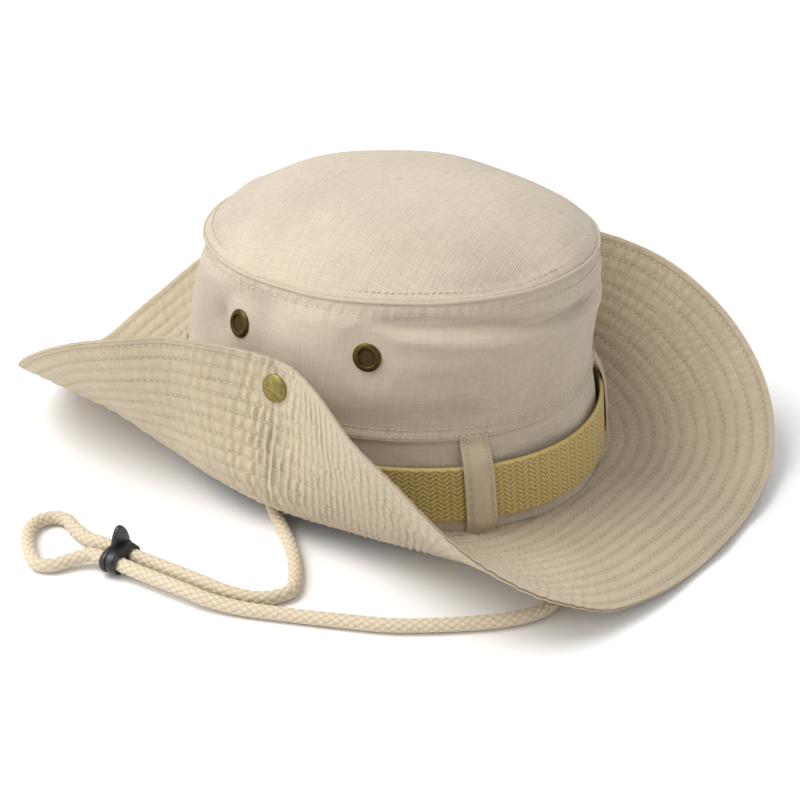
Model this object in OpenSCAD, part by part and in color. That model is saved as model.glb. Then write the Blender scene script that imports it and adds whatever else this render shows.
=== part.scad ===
// A boonie hat with its side brims snapped up, standing on a table.
// It faces -Y, +Z is up, and the wearer's right is -X.
// Angles round the crown start at the right side and turn through the front,
// so 0 is right, 90 is front, 180 is left and 270 is back.

/* [Crown] */
// Length of the head opening, front to back
base_len = 200; // [170:1:240]
// Width of the head opening
base_wid = 166; // [140:1:200]
// Height of the low band panel
band_h = 44; // [36:1:53]
// How far the front and back draw in at the panel seam
mid_draw_len = 6; // [3:0.5:9]
// How far each side draws in at the panel seam
mid_draw_wid = 1; // [0:0.5:3]
// Height of the top seam above the brim seam
crown_h = 101; // [84:1:122]
// How far the front and back draw in at the top seam
top_draw_len = 7; // [4:0.5:12]
// How far each side draws in at the top seam
top_draw_wid = 13; // [9:0.5:16]
// Rise of the top seam from back to front
top_rise = 18; // [0:1:24]
// How far the top panel leans forward
top_lean = 5; // [0:1:8]
// Height of the dome of the top panel
dome_h = 25; // [16:1:30]
// Thickness of the crown cloth
cloth_t = 1.2; // [0.8:0.1:1.6]
// Height of the sweatband
sweat_h = 32; // [24:1:34]
// Thickness of the sweatband
sweat_t = 1.6; // [1:0.1:2.4]

/* [Brim] */
// Width of the brim at the sides
brim_w = 77; // [64:1:94]
// How much narrower the brim is at the front
front_trim = 8; // [0:1:12]
// How much narrower the brim is at the back
back_trim = 4; // [0:1:12]
// Extra width of the front corners
front_corner = 10; // [0:1:12]
// Extra width of the back corners
back_corner = 7; // [0:1:12]
// Thickness of each of the two plies
ply_t = 1.2; // [0.9:0.1:1.5]
// Share of the width that curls up from the seam
fold_share = 0.35; // [0.3:0.01:0.4]
// Slope of the side brim at its seam
side_seam_deg = 37; // [30:1:44]
// Slope of the side brim above its curl
side_curl_deg = 103; // [98:1:106]
// Slope of the side brim at its edge
side_edge_deg = 98; // [94:1:102]
// Dip of the front edge at its middle
front_dip_deg = 18; // [10:1:22]
// Drop of the brim seam from back to front, each way from the middle
seam_tilt = 2; // [0:0.5:3]

/* [Webbing and loops] */
// Width of the webbing band
web_w = 25; // [20:1:28]
// Thickness of the webbing
web_t = 1.6; // [1:0.1:2]
// Height of the webbing above the brim seam
web_rise = 7; // [5:0.5:9]
// How far the webbing stands off the crown at the front and back
web_stand = 3; // [1:0.5:4]
// Width of a belt loop
loop_w = 13; // [10:0.5:18]
// Thickness of a belt loop
loop_t = 1.2; // [0.8:0.1:1.6]
// Angle of the belt loops from the front and back middles
loop_deg = 36; // [25:1:45]

/* [Vents] */
// Outer diameter of a vent rim
vent_d = 12.6; // [11:0.1:15]
// Clear diameter of a vent
vent_bore_d = 7.2; // [6:0.1:8]
// Angle of the vents from the side middles
vent_deg = 21; // [15:1:28]
// Height of the vents, as a share of the side panel
vent_level = 0.6; // [0.5:0.01:0.7]

/* [Snaps] */
// Diameter of a snap cap
cap_d = 12.5; // [11:0.1:15]
// Distance of a snap from the brim edge
snap_in = 12; // [10:0.5:15]
// Diameter of a snap socket
socket_d = 10.4; // [9:0.1:12]
// Thickness of a snap socket
socket_h = 3; // [2.6:0.1:3.4]
// Diameter of the head of a snap stud
stud_d = 3.8; // [3.2:0.1:4.6]

/* [Chin cord] */
// Diameter of the cord
cord_d = 6.2; // [5:0.1:6.4]
// Running clearance of the cord in the toggle
cord_clear = 0.35; // [0.2:0.05:0.5]
// Width of the toggle
toggle_w = 21; // [20.5:0.5:26]
// Height of the toggle's body
toggle_h = 11.8; // [11.5:0.1:14]
// Length of the toggle along the cord
toggle_l = 8; // [7:0.5:10]
// Height of the toggle's thumb tab above the table
toggle_tab = 19; // [16:0.5:22]
// Width of a cord tab
tab_w = 14; // [10:0.5:18]
// Height of a cord tab
tab_h = 16; // [12:1:20]

/* [Hidden] */

CLOTH = "#d6c7a6";
CLOTH_SHADE = "#c9b995";
WEBBING = "#b8a35e";
ANTIQUE_BRASS = "#8a7443";
DARK_MESH = "#3a3226";
COTTON = "#e6dabf";
BLACK = "#262628";

turn_step = 7.5;                   // angle between two sections of cloth
ply_rows = 8;                      // strips across the width of the brim
seam_gap = 0.15;                   // clearance where the brim meets the crown
fold_out = 5;                      // distance of the side fold line outside the seam
fold_gap = 1;                      // half the gap between the brim and a flap at the fold
flap_corner = 0.9;                 // a flap ends where the fold line is this far across the brim

front_seam_deg = -10;              // slopes of the brim at the front and the back middles
front_curl_deg = 8;
front_edge_deg = -6;
back_seam_deg = -28;
back_curl_deg = -11;
back_edge_deg = 12;
front_sweep_deg = 11;              // how far the corners turn towards the front and back
back_sweep_deg = 3;

// ---- Brim surface ----

function is_front(t) = sin(t) > 0;

// A slope that goes from the side's value to the front's or the back's
function slope(t, side, front, back, sharp) =
    let (end = is_front(t) ? front : back)
    end + (side - end) * pow(abs(cos(t)), is_front(t) ? sharp : 2);

function seam_slope(t) = slope(t, side_seam_deg, front_seam_deg, back_seam_deg, 8);
function curl_slope(t) = slope(t, side_curl_deg, front_curl_deg, back_curl_deg, 5);
function edge_slope(t) =
    slope(t, side_edge_deg, front_edge_deg, back_edge_deg, 3.6)
    - (is_front(t) ? front_dip_deg * pow(sin(t), 10) : 0);

function brim_width(t) =
    brim_w
    - (is_front(t) ? front_trim : back_trim) * pow(sin(t), 2)
    + (is_front(t) ? front_corner : back_corner) * pow(sin(2 * t), 2);

// Direction in which the brim leaves the crown, seen from above
function brim_heading(t) =
    atan2(-sin(t) / base_len, -cos(t) / base_wid)
    + (is_front(t) ? front_sweep_deg : back_sweep_deg) * sin(2 * t);

// A point at share u of an arc whose slope turns evenly from a to b: [out, up]
function arc_point(length, a, b, u) =
    let (turn = (b - a) * PI / 180)
    abs(turn) < 0.001
        ? length * u * [cos(a), sin(a)]
        : length / turn * [sin(a + (b - a) * u) - sin(a), cos(a) - cos(a + (b - a) * u)];

function brim_slope(t, s) =
    s < fold_share
        ? seam_slope(t) + (curl_slope(t) - seam_slope(t)) * s / fold_share
        : curl_slope(t) + (edge_slope(t) - curl_slope(t)) * (s - fold_share) / (1 - fold_share);

function brim_section(t, s) =
    let (curl = brim_width(t) * fold_share, flat = brim_width(t) - curl)
    arc_point(curl, seam_slope(t), curl_slope(t), min(s / fold_share, 1))
    + arc_point(flat, curl_slope(t), edge_slope(t), max(s - fold_share, 0) / (1 - fold_share));

// A point of the brim at angle t and share s of its width, h above its middle layer,
// measured from the height of the brim seam
function brim_rise(t, s, h) =
    let (
        p = brim_section(t, s),
        lift = brim_slope(t, s),
        start = seam_gap + ply_t * abs(sin(seam_slope(t))),
        out = start + p[0] - h * sin(lift),
        head = brim_heading(t)
    )
    [
        -base_wid / 2 * cos(t) + out * cos(head),
        -base_len / 2 * sin(t) + out * sin(head),
        p[1] + h * cos(lift) - seam_tilt * sin(t)
    ];

turns = [for (t = [0:turn_step:359]) t];
shares = [for (i = [0:ply_rows]) i / ply_rows];
seam_h = -min([for (t = turns) for (s = shares) brim_rise(t, s, -ply_t)[2]]);
edge_y = [for (t = turns) for (h = [-ply_t, ply_t]) brim_rise(t, 1, h)[1]];
centre_y = -(min(edge_y) + max(edge_y)) / 2;

function brim_point(t, s, h) = brim_rise(t, s, h) + [0, centre_y, seam_h];

// ---- Crown walls ----

function oval(length, width, t, d, y, z) =
    [-(width / 2 - d) * cos(t), centre_y + y - (length / 2 - d) * sin(t), z];

mid_len = base_len - 2 * mid_draw_len;
mid_wid = base_wid - 2 * mid_draw_wid;
top_len = base_len - 2 * top_draw_len;
top_wid = base_wid - 2 * top_draw_wid;
mid_z = seam_h + band_h;

function base_ring(t, d) = oval(base_len, base_wid, t, d, 0, seam_h - seam_tilt * sin(t));
function mid_ring(t, d) = oval(mid_len, mid_wid, t, d, 0, mid_z);
function top_ring(t, d) =
    oval(top_len, top_wid, t, d, -top_lean, seam_h + crown_h + top_rise / 2 * sin(t));

// Points of the two walls at share v of their height, d inside the outer face
function band_point(t, v, d) = base_ring(t, d) * (1 - v) + mid_ring(t, d) * v;
function side_point(t, v, d) = mid_ring(t, d) * (1 - v) + top_ring(t, d) * v;

function unit(v) = v / norm(v);
function side_normal(t, v) =
    let (
        along = side_point(t + 1, v, 0) - side_point(t - 1, v, 0),
        up = side_point(t, v + 0.05, 0) - side_point(t, v - 0.05, 0)
    )
    unit(cross(along, up));

// ---- Solids from sections ----

// A solid whose closed sections follow each other, as a ring or with two flat ends.
// With flip its four-sided patches are split the other way, so that two plies meet exactly.
module swept(sections, ring = false, flip = false) {
    n = len(sections[0]);
    count = len(sections);
    last = ring ? count - 1 : count - 2;
    sides = [
        for (i = [0:last]) for (j = [0:n - 1])
            let (
                a = i * n + j,
                b = i * n + (j + 1) % n,
                c = ((i + 1) % count) * n + (j + 1) % n,
                d = ((i + 1) % count) * n + j
            )
            each flip ? [[a, b, d], [b, c, d]] : [[a, b, c], [a, c, d]]
    ];
    ends = ring ? [] : [
        for (first = [true, false]) for (j = [0:n / 2 - 2])
            let (
                o = first ? 0 : (count - 1) * n,
                a = o + j,
                b = o + j + 1,
                c = o + n - 2 - j,
                d = o + n - 1 - j
            )
            each first ? [[a, d, c], [a, c, b]] : [[a, c, d], [a, b, c]]
    ];
    polyhedron([for (s = sections) each s], concat(sides, ends), convexity = 6);
}

// ---- Crown ----

dome_rings = [1, 0.96, 0.88, 0.77, 0.62, 0.4, 0.2];
dome_fullness = 3.4;               // how flat the dome is in its middle

function dome_point(t, k, h) =
    [
        -k * top_wid / 2 * cos(t),
        centre_y - top_lean - k * top_len / 2 * sin(t),
        seam_h + crown_h + k * top_rise / 2 * sin(t) + dome_h * (1 - pow(k, dome_fullness)) + h
    ];

module crown_top() {
    n = len(turns);
    m = len(dome_rings);
    skins = [for (h = [cloth_t, 0.02]) for (k = dome_rings) for (t = turns) dome_point(t, k, h)];
    poles = [dome_point(0, 0, cloth_t), dome_point(0, 0, 0.02)];
    outer = [
        for (i = [0:m - 2]) for (j = [0:n - 1])
            let (a = i * n + j, b = i * n + (j + 1) % n)
            each [[a, a + n, b + n], [a, b + n, b]]
    ];
    inner = [for (f = outer) [f[0] + m * n, f[2] + m * n, f[1] + m * n]];
    rim = [
        for (j = [0:n - 1])
            let (b = (j + 1) % n)
            each [[j, b, b + m * n], [j, b + m * n, j + m * n]]
    ];
    tips = [
        for (j = [0:n - 1])
            let (a = (m - 1) * n + j, b = (m - 1) * n + (j + 1) % n)
            each [[a, 2 * m * n, b], [a + m * n, b + m * n, 2 * m * n + 1]]
    ];
    color(CLOTH) polyhedron(concat(skins, poles), concat(outer, inner, rim, tips), convexity = 4);
}

module wall_at(t, level) {
    n = side_normal(t, level);
    translate(side_point(t, level, 0)) rotate([0, acos(n[2]), atan2(n[1], n[0])]) children();
}

vent_turns = [vent_deg, -vent_deg, 180 - vent_deg, 180 + vent_deg];
vent_wall = 0.6;                   // wall of a vent's barrel
vent_lip = 1.4;                    // thickness of a vent's rim
vent_fit = 0.1;                    // clearance of the barrel in the cloth
washer_t = 0.6;
washer_drop = cloth_t + 0.3;       // depth of the washer's face below the cloth's outer face
barrel_r = vent_bore_d / 2 + vent_wall;

module at_vents() {
    for (t = vent_turns) wall_at(t, vent_level) children();
}

module crown_side() {
    color(CLOTH) difference() {
        swept([for (t = turns) [
            side_point(t, 0, 0), side_point(t, 0.5, 0), side_point(t, 1, 0),
            side_point(t, 1, cloth_t), side_point(t, 0.5, cloth_t), side_point(t, 0, cloth_t)
        ]], ring = true);
        at_vents() cylinder(h = 4 * cloth_t, r = barrel_r + vent_fit, center = true, $fn = 48);
        for (side = [0, 1]) mirror([side, 0, 0]) at_snap() {
            translate([0, 0, -snap_reach - 3 * cloth_t])
                cylinder(h = 6 * cloth_t, r = post_r + vent_fit, $fn = 32);
        }
    }
}

module crown_band() {
    color(CLOTH) swept([for (t = turns) [
        band_point(t, 0, 0), band_point(t, 1, 0), band_point(t, 1, cloth_t), band_point(t, 0, cloth_t)
    ]], ring = true);
}

sweat_gap = 0.3;                   // clearance between the sweatband and the crown
sweat_low = 0.03;                  // its lower edge, as a share of the band panel's height

module sweatband() {
    d = cloth_t + sweat_gap;
    high = sweat_low + sweat_h / band_h;
    color(CLOTH_SHADE) swept([for (t = turns) [
        band_point(t, sweat_low, d), band_point(t, high, d),
        band_point(t, high, d + sweat_t), band_point(t, sweat_low, d + sweat_t)
    ]], ring = true);
}

// ---- Brim ----

fold_x = base_wid / 2 + fold_out;
scan = 0.02;                       // step in which the fold line is looked for

function brim_reach(t, s) = abs(brim_rise(t, s, 0)[0]);

// Share of the width at which the brim crosses the fold line, or 1 where it doesn't
function fold_cut(t, s = 0) =
    s >= 1 ? 1 :
    brim_reach(t, s + scan) >= fold_x
        ? s + scan * (fold_x - brim_reach(t, s)) / (brim_reach(t, s + scan) - brim_reach(t, s))
        : fold_cut(t, s + scan);

function has_flap(t) = fold_cut(t) < flap_corner;

function ply_section(t, low, high, h0, h1) = [
    for (s = shares) brim_point(t, low + (high - low) * s, h0),
    for (s = shares) brim_point(t, high - (high - low) * s, h1)
];

// One ply of the fixed brim, between two angles and two heights over the middle layer
module ply(t0, t1, h0, h1) {
    swept([
        for (t = [t0:turn_step:t1])
            let (end = has_flap(t) ? fold_cut(t) - fold_gap / brim_width(t) : 1)
            ply_section(t, 0, end, h0, h1)
    ], flip = h0 < 0);
}

module brim_upper_front() { color(CLOTH) ply(0, 180, 0, ply_t); }
module brim_lower_front() { color(CLOTH_SHADE) ply(0, 180, -ply_t, 0); }
module brim_upper_back() { color(CLOTH) ply(180, 360, 0, ply_t); }
module brim_lower_back() { color(CLOTH_SHADE) ply(180, 360, -ply_t, 0); }

module flap(h0, h1) {
    difference() {
        swept([
            for (t = [-90:turn_step:90])
                if (has_flap(t))
                    ply_section(t, fold_cut(t) + fold_gap / brim_width(t), 1, h0, h1)
        ], flip = h0 < 0);
        at_snap() cylinder(h = 6 * ply_t, r = shank_r + vent_fit, center = true, $fn = 32);
        at_snap() translate([0, 0, ply_t]) cylinder(h = 4, r = cap_d / 2 + vent_fit, $fn = 64);
    }
}

module left() { mirror([1, 0, 0]) children(); }

module right_flap_upper() { color(CLOTH) flap(0, ply_t); }
module right_flap_lower() { color(CLOTH_SHADE) flap(-ply_t, 0); }
module left_flap_upper() { color(CLOTH) left() flap(0, ply_t); }
module left_flap_lower() { color(CLOTH_SHADE) left() flap(-ply_t, 0); }

// ---- Snaps ----

shank_r = 1.9;
post_r = 1.3;
stud_flange_r = 4.2;
stud_flange_t = 0.8;
stud_seat = 0.3;                   // clearance between a stud's flange and the cloth
engage = 1.6;                      // depth of the stud's head in the socket
socket_floor = 0.8;
cap_h = 2;
post_cap_r = 5.5;
post_cap_t = 1;

snap_share = 1 - snap_in / brim_w;
snap_spot = brim_point(0, snap_share, 0);
snap_lean = brim_slope(0, snap_share);

// Distance from the flap's middle layer to the crown wall, along the snap's axis
wall_run = (top_draw_wid - mid_draw_wid) / (crown_h - band_h);
snap_reach =
    (snap_spot[0] + mid_wid / 2 - wall_run * (snap_spot[2] - mid_z))
    / (-sin(snap_lean) + wall_run * cos(snap_lean));

// Places its children at the right snap, with +Z pointing out of the flap
module at_snap() {
    translate(snap_spot) rotate([0, snap_lean - 180, 0]) children();
}

module snap_cap() {
    color(ANTIQUE_BRASS) at_snap() rotate_extrude($fn = 64) polygon([
        [0, -ply_t], [shank_r, -ply_t], [shank_r, ply_t], [cap_d / 2, ply_t],
        [cap_d / 2, ply_t + 0.25 * cap_h], [0.47 * cap_d, ply_t + 0.5 * cap_h],
        [0.36 * cap_d, ply_t + 0.8 * cap_h], [0.2 * cap_d, ply_t + 0.95 * cap_h],
        [0, ply_t + cap_h]
    ]);
}

module snap_socket() {
    mouth = stud_d / 2 + 1.4;
    seat = stud_d / 2 + 0.5;
    color(ANTIQUE_BRASS) at_snap() translate([0, 0, -ply_t - socket_h]) rotate_extrude($fn = 64) polygon([
        [mouth, 0], [socket_d / 2 - 0.6, 0], [socket_d / 2, 0.6], [socket_d / 2, socket_h],
        [0, socket_h], [0, socket_h - socket_floor], [seat, socket_h - socket_floor]
    ]);
}

module snap_stud() {
    base = -snap_reach + stud_seat;
    tip = -ply_t - socket_h + engage;
    color(ANTIQUE_BRASS) at_snap() rotate_extrude($fn = 64) polygon([
        [0, base], [stud_flange_r, base], [stud_flange_r, base + stud_flange_t / 2],
        [stud_flange_r - 0.4, base + stud_flange_t], [0.4 * stud_d, base + stud_flange_t],
        [stud_d / 2, tip - 1], [stud_d / 2, tip - 0.4], [stud_d / 2 - 0.4, tip], [0, tip]
    ]);
}

module snap_post() {
    inside = -snap_reach - cloth_t - 0.5;
    color(ANTIQUE_BRASS) at_snap() rotate_extrude($fn = 64) polygon([
        [0, -snap_reach + stud_seat], [post_r, -snap_reach + stud_seat], [post_r, inside],
        [post_cap_r, inside], [post_cap_r, inside - 0.5 * post_cap_t],
        [post_cap_r - 0.5, inside - post_cap_t], [0, inside - post_cap_t]
    ]);
}

module right_snap_cap() { snap_cap(); }
module right_snap_socket() { snap_socket(); }
module right_snap_stud() { snap_stud(); }
module right_snap_post() { snap_post(); }
module left_snap_cap() { left() snap_cap(); }
module left_snap_socket() { left() snap_socket(); }
module left_snap_stud() { left() snap_stud(); }
module left_snap_post() { left() snap_post(); }

// ---- Vents ----

module vent_rims() {
    r = vent_d / 2;
    bore = vent_bore_d / 2;
    color(ANTIQUE_BRASS) at_vents() rotate_extrude($fn = 64) polygon([
        [bore, -washer_drop - washer_t], [barrel_r, -washer_drop - washer_t], [barrel_r, 0.05],
        [r, 0.05], [r, 0.4 * vent_lip], [r - 0.5, 0.8 * vent_lip], [r - 1.2, vent_lip],
        [bore + 0.8, vent_lip], [bore + 0.2, 0.8 * vent_lip], [bore, 0.4 * vent_lip]
    ]);
}

module vent_screens() {
    hole_pitch = vent_bore_d / 4;
    color(DARK_MESH) at_vents() difference() {
        translate([0, 0, -0.6]) cylinder(h = 0.4, r = vent_bore_d / 2 - 0.02, $fn = 48);
        translate([0, 0, -1]) cylinder(h = 2, r = 0.5, $fn = 16);
        for (a = [0:60:300]) rotate(a) translate([hole_pitch, 0, -1]) cylinder(h = 2, r = 0.5, $fn = 16);
    }
}

module vent_washers() {
    color(ANTIQUE_BRASS) at_vents() translate([0, 0, -washer_drop - washer_t]) difference() {
        cylinder(h = washer_t, r = vent_d / 2 - 0.3, $fn = 64);
        translate([0, 0, -1]) cylinder(h = washer_t + 2, r = barrel_r + 0.02, $fn = 64);
    }
}

// ---- Webbing and loops ----

web_snug = 0.4;                    // clearance of the webbing at the sides
web_low = web_rise / band_h;
web_high = (web_rise + web_w) / band_h;

// How far the webbing's inner face stands off the crown, more at its upper edge
function web_off(t, v) =
    web_snug + web_stand * pow(sin(t), 2) * (0.6 + 0.5 * (v - web_low) / (web_high - web_low));

module webbing_band() {
    color(WEBBING) swept([for (t = turns) [
        band_point(t, web_low, -web_off(t, web_low) - web_t),
        band_point(t, web_high, -web_off(t, web_high) - web_t),
        band_point(t, web_high, -web_off(t, web_high)),
        band_point(t, web_low, -web_off(t, web_low))
    ]], ring = true);
}

loop_snug = 0.2;                   // clearance of a loop over the webbing

// The loop's inner face from its tacked top to its sewn foot: [height share, stand-off]
function loop_path(t) = [
    [0.98, loop_snug], [0.9, loop_snug],
    [web_high + 0.03, web_off(t, web_high) + web_t + loop_snug],
    [0.45, web_off(t, 0.45) + web_t + loop_snug + 0.3],
    [web_low - 0.01, web_off(t, web_low) + web_t + loop_snug],
    [0.08, 0.5 * web_stand], [0.06, loop_snug]
];

function oval_speed(t) = norm([base_wid / 2 * sin(t), base_len / 2 * cos(t)]) * PI / 180;

module belt_loop(t) {
    half = loop_w / 2 / oval_speed(t);
    color(CLOTH) swept([for (u = [t - half, t, t + half])
        let (path = loop_path(u), n = len(path) - 1)
        [
            for (i = [0:n]) band_point(u, path[i][0], -path[i][1]),
            for (i = [n:-1:0]) band_point(u, path[i][0], -path[i][1] - loop_t)
        ]
    ]);
}

module belt_loop_front_right() { belt_loop(90 - loop_deg); }
module belt_loop_front_left() { belt_loop(90 + loop_deg); }
module belt_loop_back_left() { belt_loop(270 - loop_deg); }
module belt_loop_back_right() { belt_loop(270 + loop_deg); }

// ---- Chin cord ----

cord_lie = cord_d / 2 + 0.05;      // height of the cord's middle where it lies on the table
cord_slot = 5.8;                   // height of its middle in the toggle
strands = [-145, -154];            // the two runs of the route on which the toggle slides
slide_y = 36;                      // the toggle's middle along them

tab_t = 8;
tab_clear = 0.6;                   // clearance of a tab from the sweatband
tab_sag = 2.2;                     // depth of the sweatband's bow across a tab
tab_x = base_wid / 2 - cloth_t - sweat_gap - sweat_t - tab_clear - tab_sag - tab_t / 2;

// The route follows the side of the hat when the opening's size changes
function beside(p) = [
    p[0] + (tab_x - 73) * max(min(p[0] / 73, 1), -1),
    p[1] + (base_len - 200) / 2 * max(min(p[1] / 100, 1), -1),
    p[2]
];

// From the right tab to the table, round the loop and back under the brim to the left tab
cord_route = [for (p = [
    [-73, 12, 17], [-73.6, 11.3, 11], [-77.5, 7.8, 5.4], [-83, 1, cord_lie],
    [-103, -22, cord_lie], [-123, -36.5, cord_lie], [-133, -35, cord_lie],
    [-140, -27, 3.5], [-144, -15, 4.8],
    [strands[0], -3, cord_slot], [strands[0], 22, cord_slot], [strands[0], 47, cord_slot],
    [-144.2, 56.5, 4.5], [-140, 68, 3.2], [-136, 77, cord_lie], [-138.5, 84, cord_lie],
    [-146, 86.5, cord_lie], [-155, 83, cord_lie], [-164.5, 74, cord_lie], [-170, 65, cord_lie],
    [-167.5, 58.5, 3.2], [-161.5, 54.5, 3.8], [-156.2, 50, 5],
    [strands[1], 44, cord_slot], [strands[1], 20, cord_slot], [strands[1], -3, cord_slot],
    [-152.5, -16, 4.5], [-147, -33, cord_lie], [-133, -67, cord_lie], [-120, -93, cord_lie],
    [-94, -124, cord_lie], [-74, -134, cord_lie], [-61, -124, cord_lie], [-58, -104, cord_lie],
    [-58, -76, cord_lie], [-28, -38, cord_lie], [30, -18, cord_lie],
    [69, 6.5, 4.8], [72.4, 10.7, 10.5], [73, 12, 17],
]) beside(p)];

// A smooth curve through four points, at share u between the middle two
function between(a, b, c, d, u) =
    0.5 * (2 * b + (c - a) * u + (2 * a - 5 * b + 4 * c - d) * u * u + (3 * b - a - 3 * c + d) * u * u * u);

function on_table(p) = [p[0], p[1], max(p[2], cord_lie)];

cord_last = len(cord_route) - 1;
cord_line = [
    for (i = [0:cord_last - 1]) for (u = [0, 0.5])
        on_table(between(
            cord_route[max(i - 1, 0)], cord_route[i],
            cord_route[i + 1], cord_route[min(i + 2, cord_last)], u
        )),
    cord_route[cord_last]
];

function line_ahead(line, i) = unit(line[min(i + 1, len(line) - 1)] - line[max(i - 1, 0)]);

module chin_cord() {
    sides = 8;
    r = cord_d / 2;
    color(COTTON) swept([
        for (i = [0:len(cord_line) - 1])
            let (
                ahead = line_ahead(cord_line, i),
                across = unit(cross([0, 0, 1], ahead)),
                up = cross(ahead, across)
            )
            [for (k = [0:sides - 1])
                cord_line[i] + r * (cos(k * 360 / sides) * across - sin(k * 360 / sides) * up)]
    ]);
}

module cord_toggle() {
    lip = 3;                       // thickness of the flange at the loop's end
    inset = 1;                     // how much smaller the body is than the flange
    tab_half = 5.5;                // half the width of the thumb tab
    bottom = 0.2;
    bores = [for (x = strands) beside([x, slide_y, cord_slot])];
    middle = (bores[0] + bores[1]) / 2;
    color(BLACK) difference() {
        translate([middle[0], middle[1] + toggle_l / 2, bottom + toggle_h / 2]) rotate([90, 0, 0]) {
            pill(toggle_w, toggle_h, lip);
            pill(toggle_w - 2 * inset, toggle_h - 2 * inset, toggle_l);
            translate([toggle_w / 2 - tab_half, toggle_tab - bottom - toggle_h / 2 - tab_half, 0])
                cylinder(h = lip, r = tab_half, $fn = 48);
            translate([toggle_w / 2 - 2 * tab_half, 0, 0])
                cube([2 * tab_half, toggle_tab - bottom - toggle_h / 2 - tab_half, lip]);
        }
        for (p = bores) translate(p) rotate([90, 0, 0])
            cylinder(h = 2 * toggle_l, r = cord_d / 2 + cord_clear, center = true, $fn = 48);
    }
}

// A flat bar with round ends, standing on the XY plane
module pill(width, height, thick) {
    reach = (width - height) / 2;
    for (x = [-reach, reach]) translate([x, 0, 0]) cylinder(h = thick, r = height / 2, $fn = 48);
    translate([-reach, -height / 2, 0]) cube([2 * reach, height, thick]);
}

module cord_tab() {
    end = cord_route[0];
    color(CLOTH_SHADE) translate([end[0] - tab_t / 2, end[1] - tab_w / 2, end[2]])
        cube([tab_t, tab_w, tab_h]);
}

module cord_tab_right() { cord_tab(); }
module cord_tab_left() { left() cord_tab(); }

crown_top();
crown_side();
crown_band();
sweatband();
brim_upper_front();
brim_upper_back();
brim_lower_front();
brim_lower_back();
right_flap_upper();
right_flap_lower();
left_flap_upper();
left_flap_lower();
webbing_band();
belt_loop_front_right();
belt_loop_front_left();
belt_loop_back_left();
belt_loop_back_right();
vent_rims();
vent_screens();
vent_washers();
right_snap_cap();
right_snap_socket();
right_snap_stud();
right_snap_post();
left_snap_cap();
left_snap_socket();
left_snap_stud();
left_snap_post();
cord_tab_right();
cord_tab_left();
chin_cord();
cord_toggle();
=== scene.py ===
"""Looks of a boonie hat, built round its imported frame.

The functions that give the hat's surfaces work in millimetres, in the frame's axes, as the part's
source does. A mesh is turned to metres when it is made.
"""

import bpy
import math
import numpy as np
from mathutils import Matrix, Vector


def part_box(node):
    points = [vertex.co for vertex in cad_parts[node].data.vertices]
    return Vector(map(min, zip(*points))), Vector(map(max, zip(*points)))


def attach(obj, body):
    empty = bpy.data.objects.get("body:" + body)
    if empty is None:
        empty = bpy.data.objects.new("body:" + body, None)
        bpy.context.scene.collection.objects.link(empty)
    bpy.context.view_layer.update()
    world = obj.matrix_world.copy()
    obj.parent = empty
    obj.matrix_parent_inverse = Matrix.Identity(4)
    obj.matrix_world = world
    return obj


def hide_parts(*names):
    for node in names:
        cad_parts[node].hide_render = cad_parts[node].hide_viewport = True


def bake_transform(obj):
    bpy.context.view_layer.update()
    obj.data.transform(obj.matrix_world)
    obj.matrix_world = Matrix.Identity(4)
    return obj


bl_info = {
    "name": "Boonie Hat",
    "version": (1, 0, 0),
    "blender": (4, 5, 0),
    "location": "View3D > Sidebar > Boonie Hat",
    "description": "Builds the cloth, webbing, cord and fittings of a boonie hat",
    "category": "Object",
}

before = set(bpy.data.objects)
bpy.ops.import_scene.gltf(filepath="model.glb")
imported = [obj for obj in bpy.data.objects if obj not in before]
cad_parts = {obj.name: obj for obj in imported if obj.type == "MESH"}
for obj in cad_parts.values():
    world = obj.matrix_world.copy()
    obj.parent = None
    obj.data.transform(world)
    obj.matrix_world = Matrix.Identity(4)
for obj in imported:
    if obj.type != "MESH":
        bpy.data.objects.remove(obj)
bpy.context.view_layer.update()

# ---- Sizes that the frame gives, in millimetres ----


def box_mm(node):
    """The two corners of a node's box."""
    return [np.array(corner) * 1000 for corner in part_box(node)]


BAND_LOW, BAND_HIGH = box_mm("crown_band")
BASE_WID = BAND_HIGH[0] - BAND_LOW[0]
BASE_LEN = BAND_HIGH[1] - BAND_LOW[1]
CENTRE_Y = (BAND_HIGH[1] + BAND_LOW[1]) / 2
SEAM_TILT = 2.0
SEAM_H = BAND_LOW[2] + SEAM_TILT
MID_Z = BAND_HIGH[2]
BAND_H = MID_Z - SEAM_H
TOP_RISE = 18.0
CROWN_H = box_mm("crown_side")[1][2] - SEAM_H - TOP_RISE / 2

# ---- The hat's other sizes, in millimetres, and slopes in degrees ----

CLOTH_T = 1.2
MID_DRAW = np.array([1.0, 6.0])      # how far the sides and ends draw in at the panel seam
TOP_DRAW = np.array([13.0, 7.0])     # and at the top seam
TOP_LEAN = 5.0
DOME_H = 25.0
DOME_FULLNESS = 3.4
BRIM_W = 77.0
PLY_T = 1.2
FOLD_SHARE = 0.35
WEB_T = 1.6
WEB_W = 25.0
WEB_LOW = 7.0 / BAND_H                # its edges, as shares of the band panel's height
WEB_HIGH = (7.0 + WEB_W) / BAND_H
WEB_STAND = 3.0
LOOP_T = 1.2
LOOP_W = 13.0
SWEAT_W = 32.0
CORD_D = 6.2
CORD_LIE = 3.15                      # height of its middle on the table
CORD_SLOT = 5.8                      # and in the toggle
STRANDS = (-145.1, -154.1)           # where the toggle's two bores lie
BORE_R = 3.45
WIRE_PITCH = 0.82
VENT_R = 3.55
FLOOR_GAP = 0.2                      # the brim's cloth stays this far above the table


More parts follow.
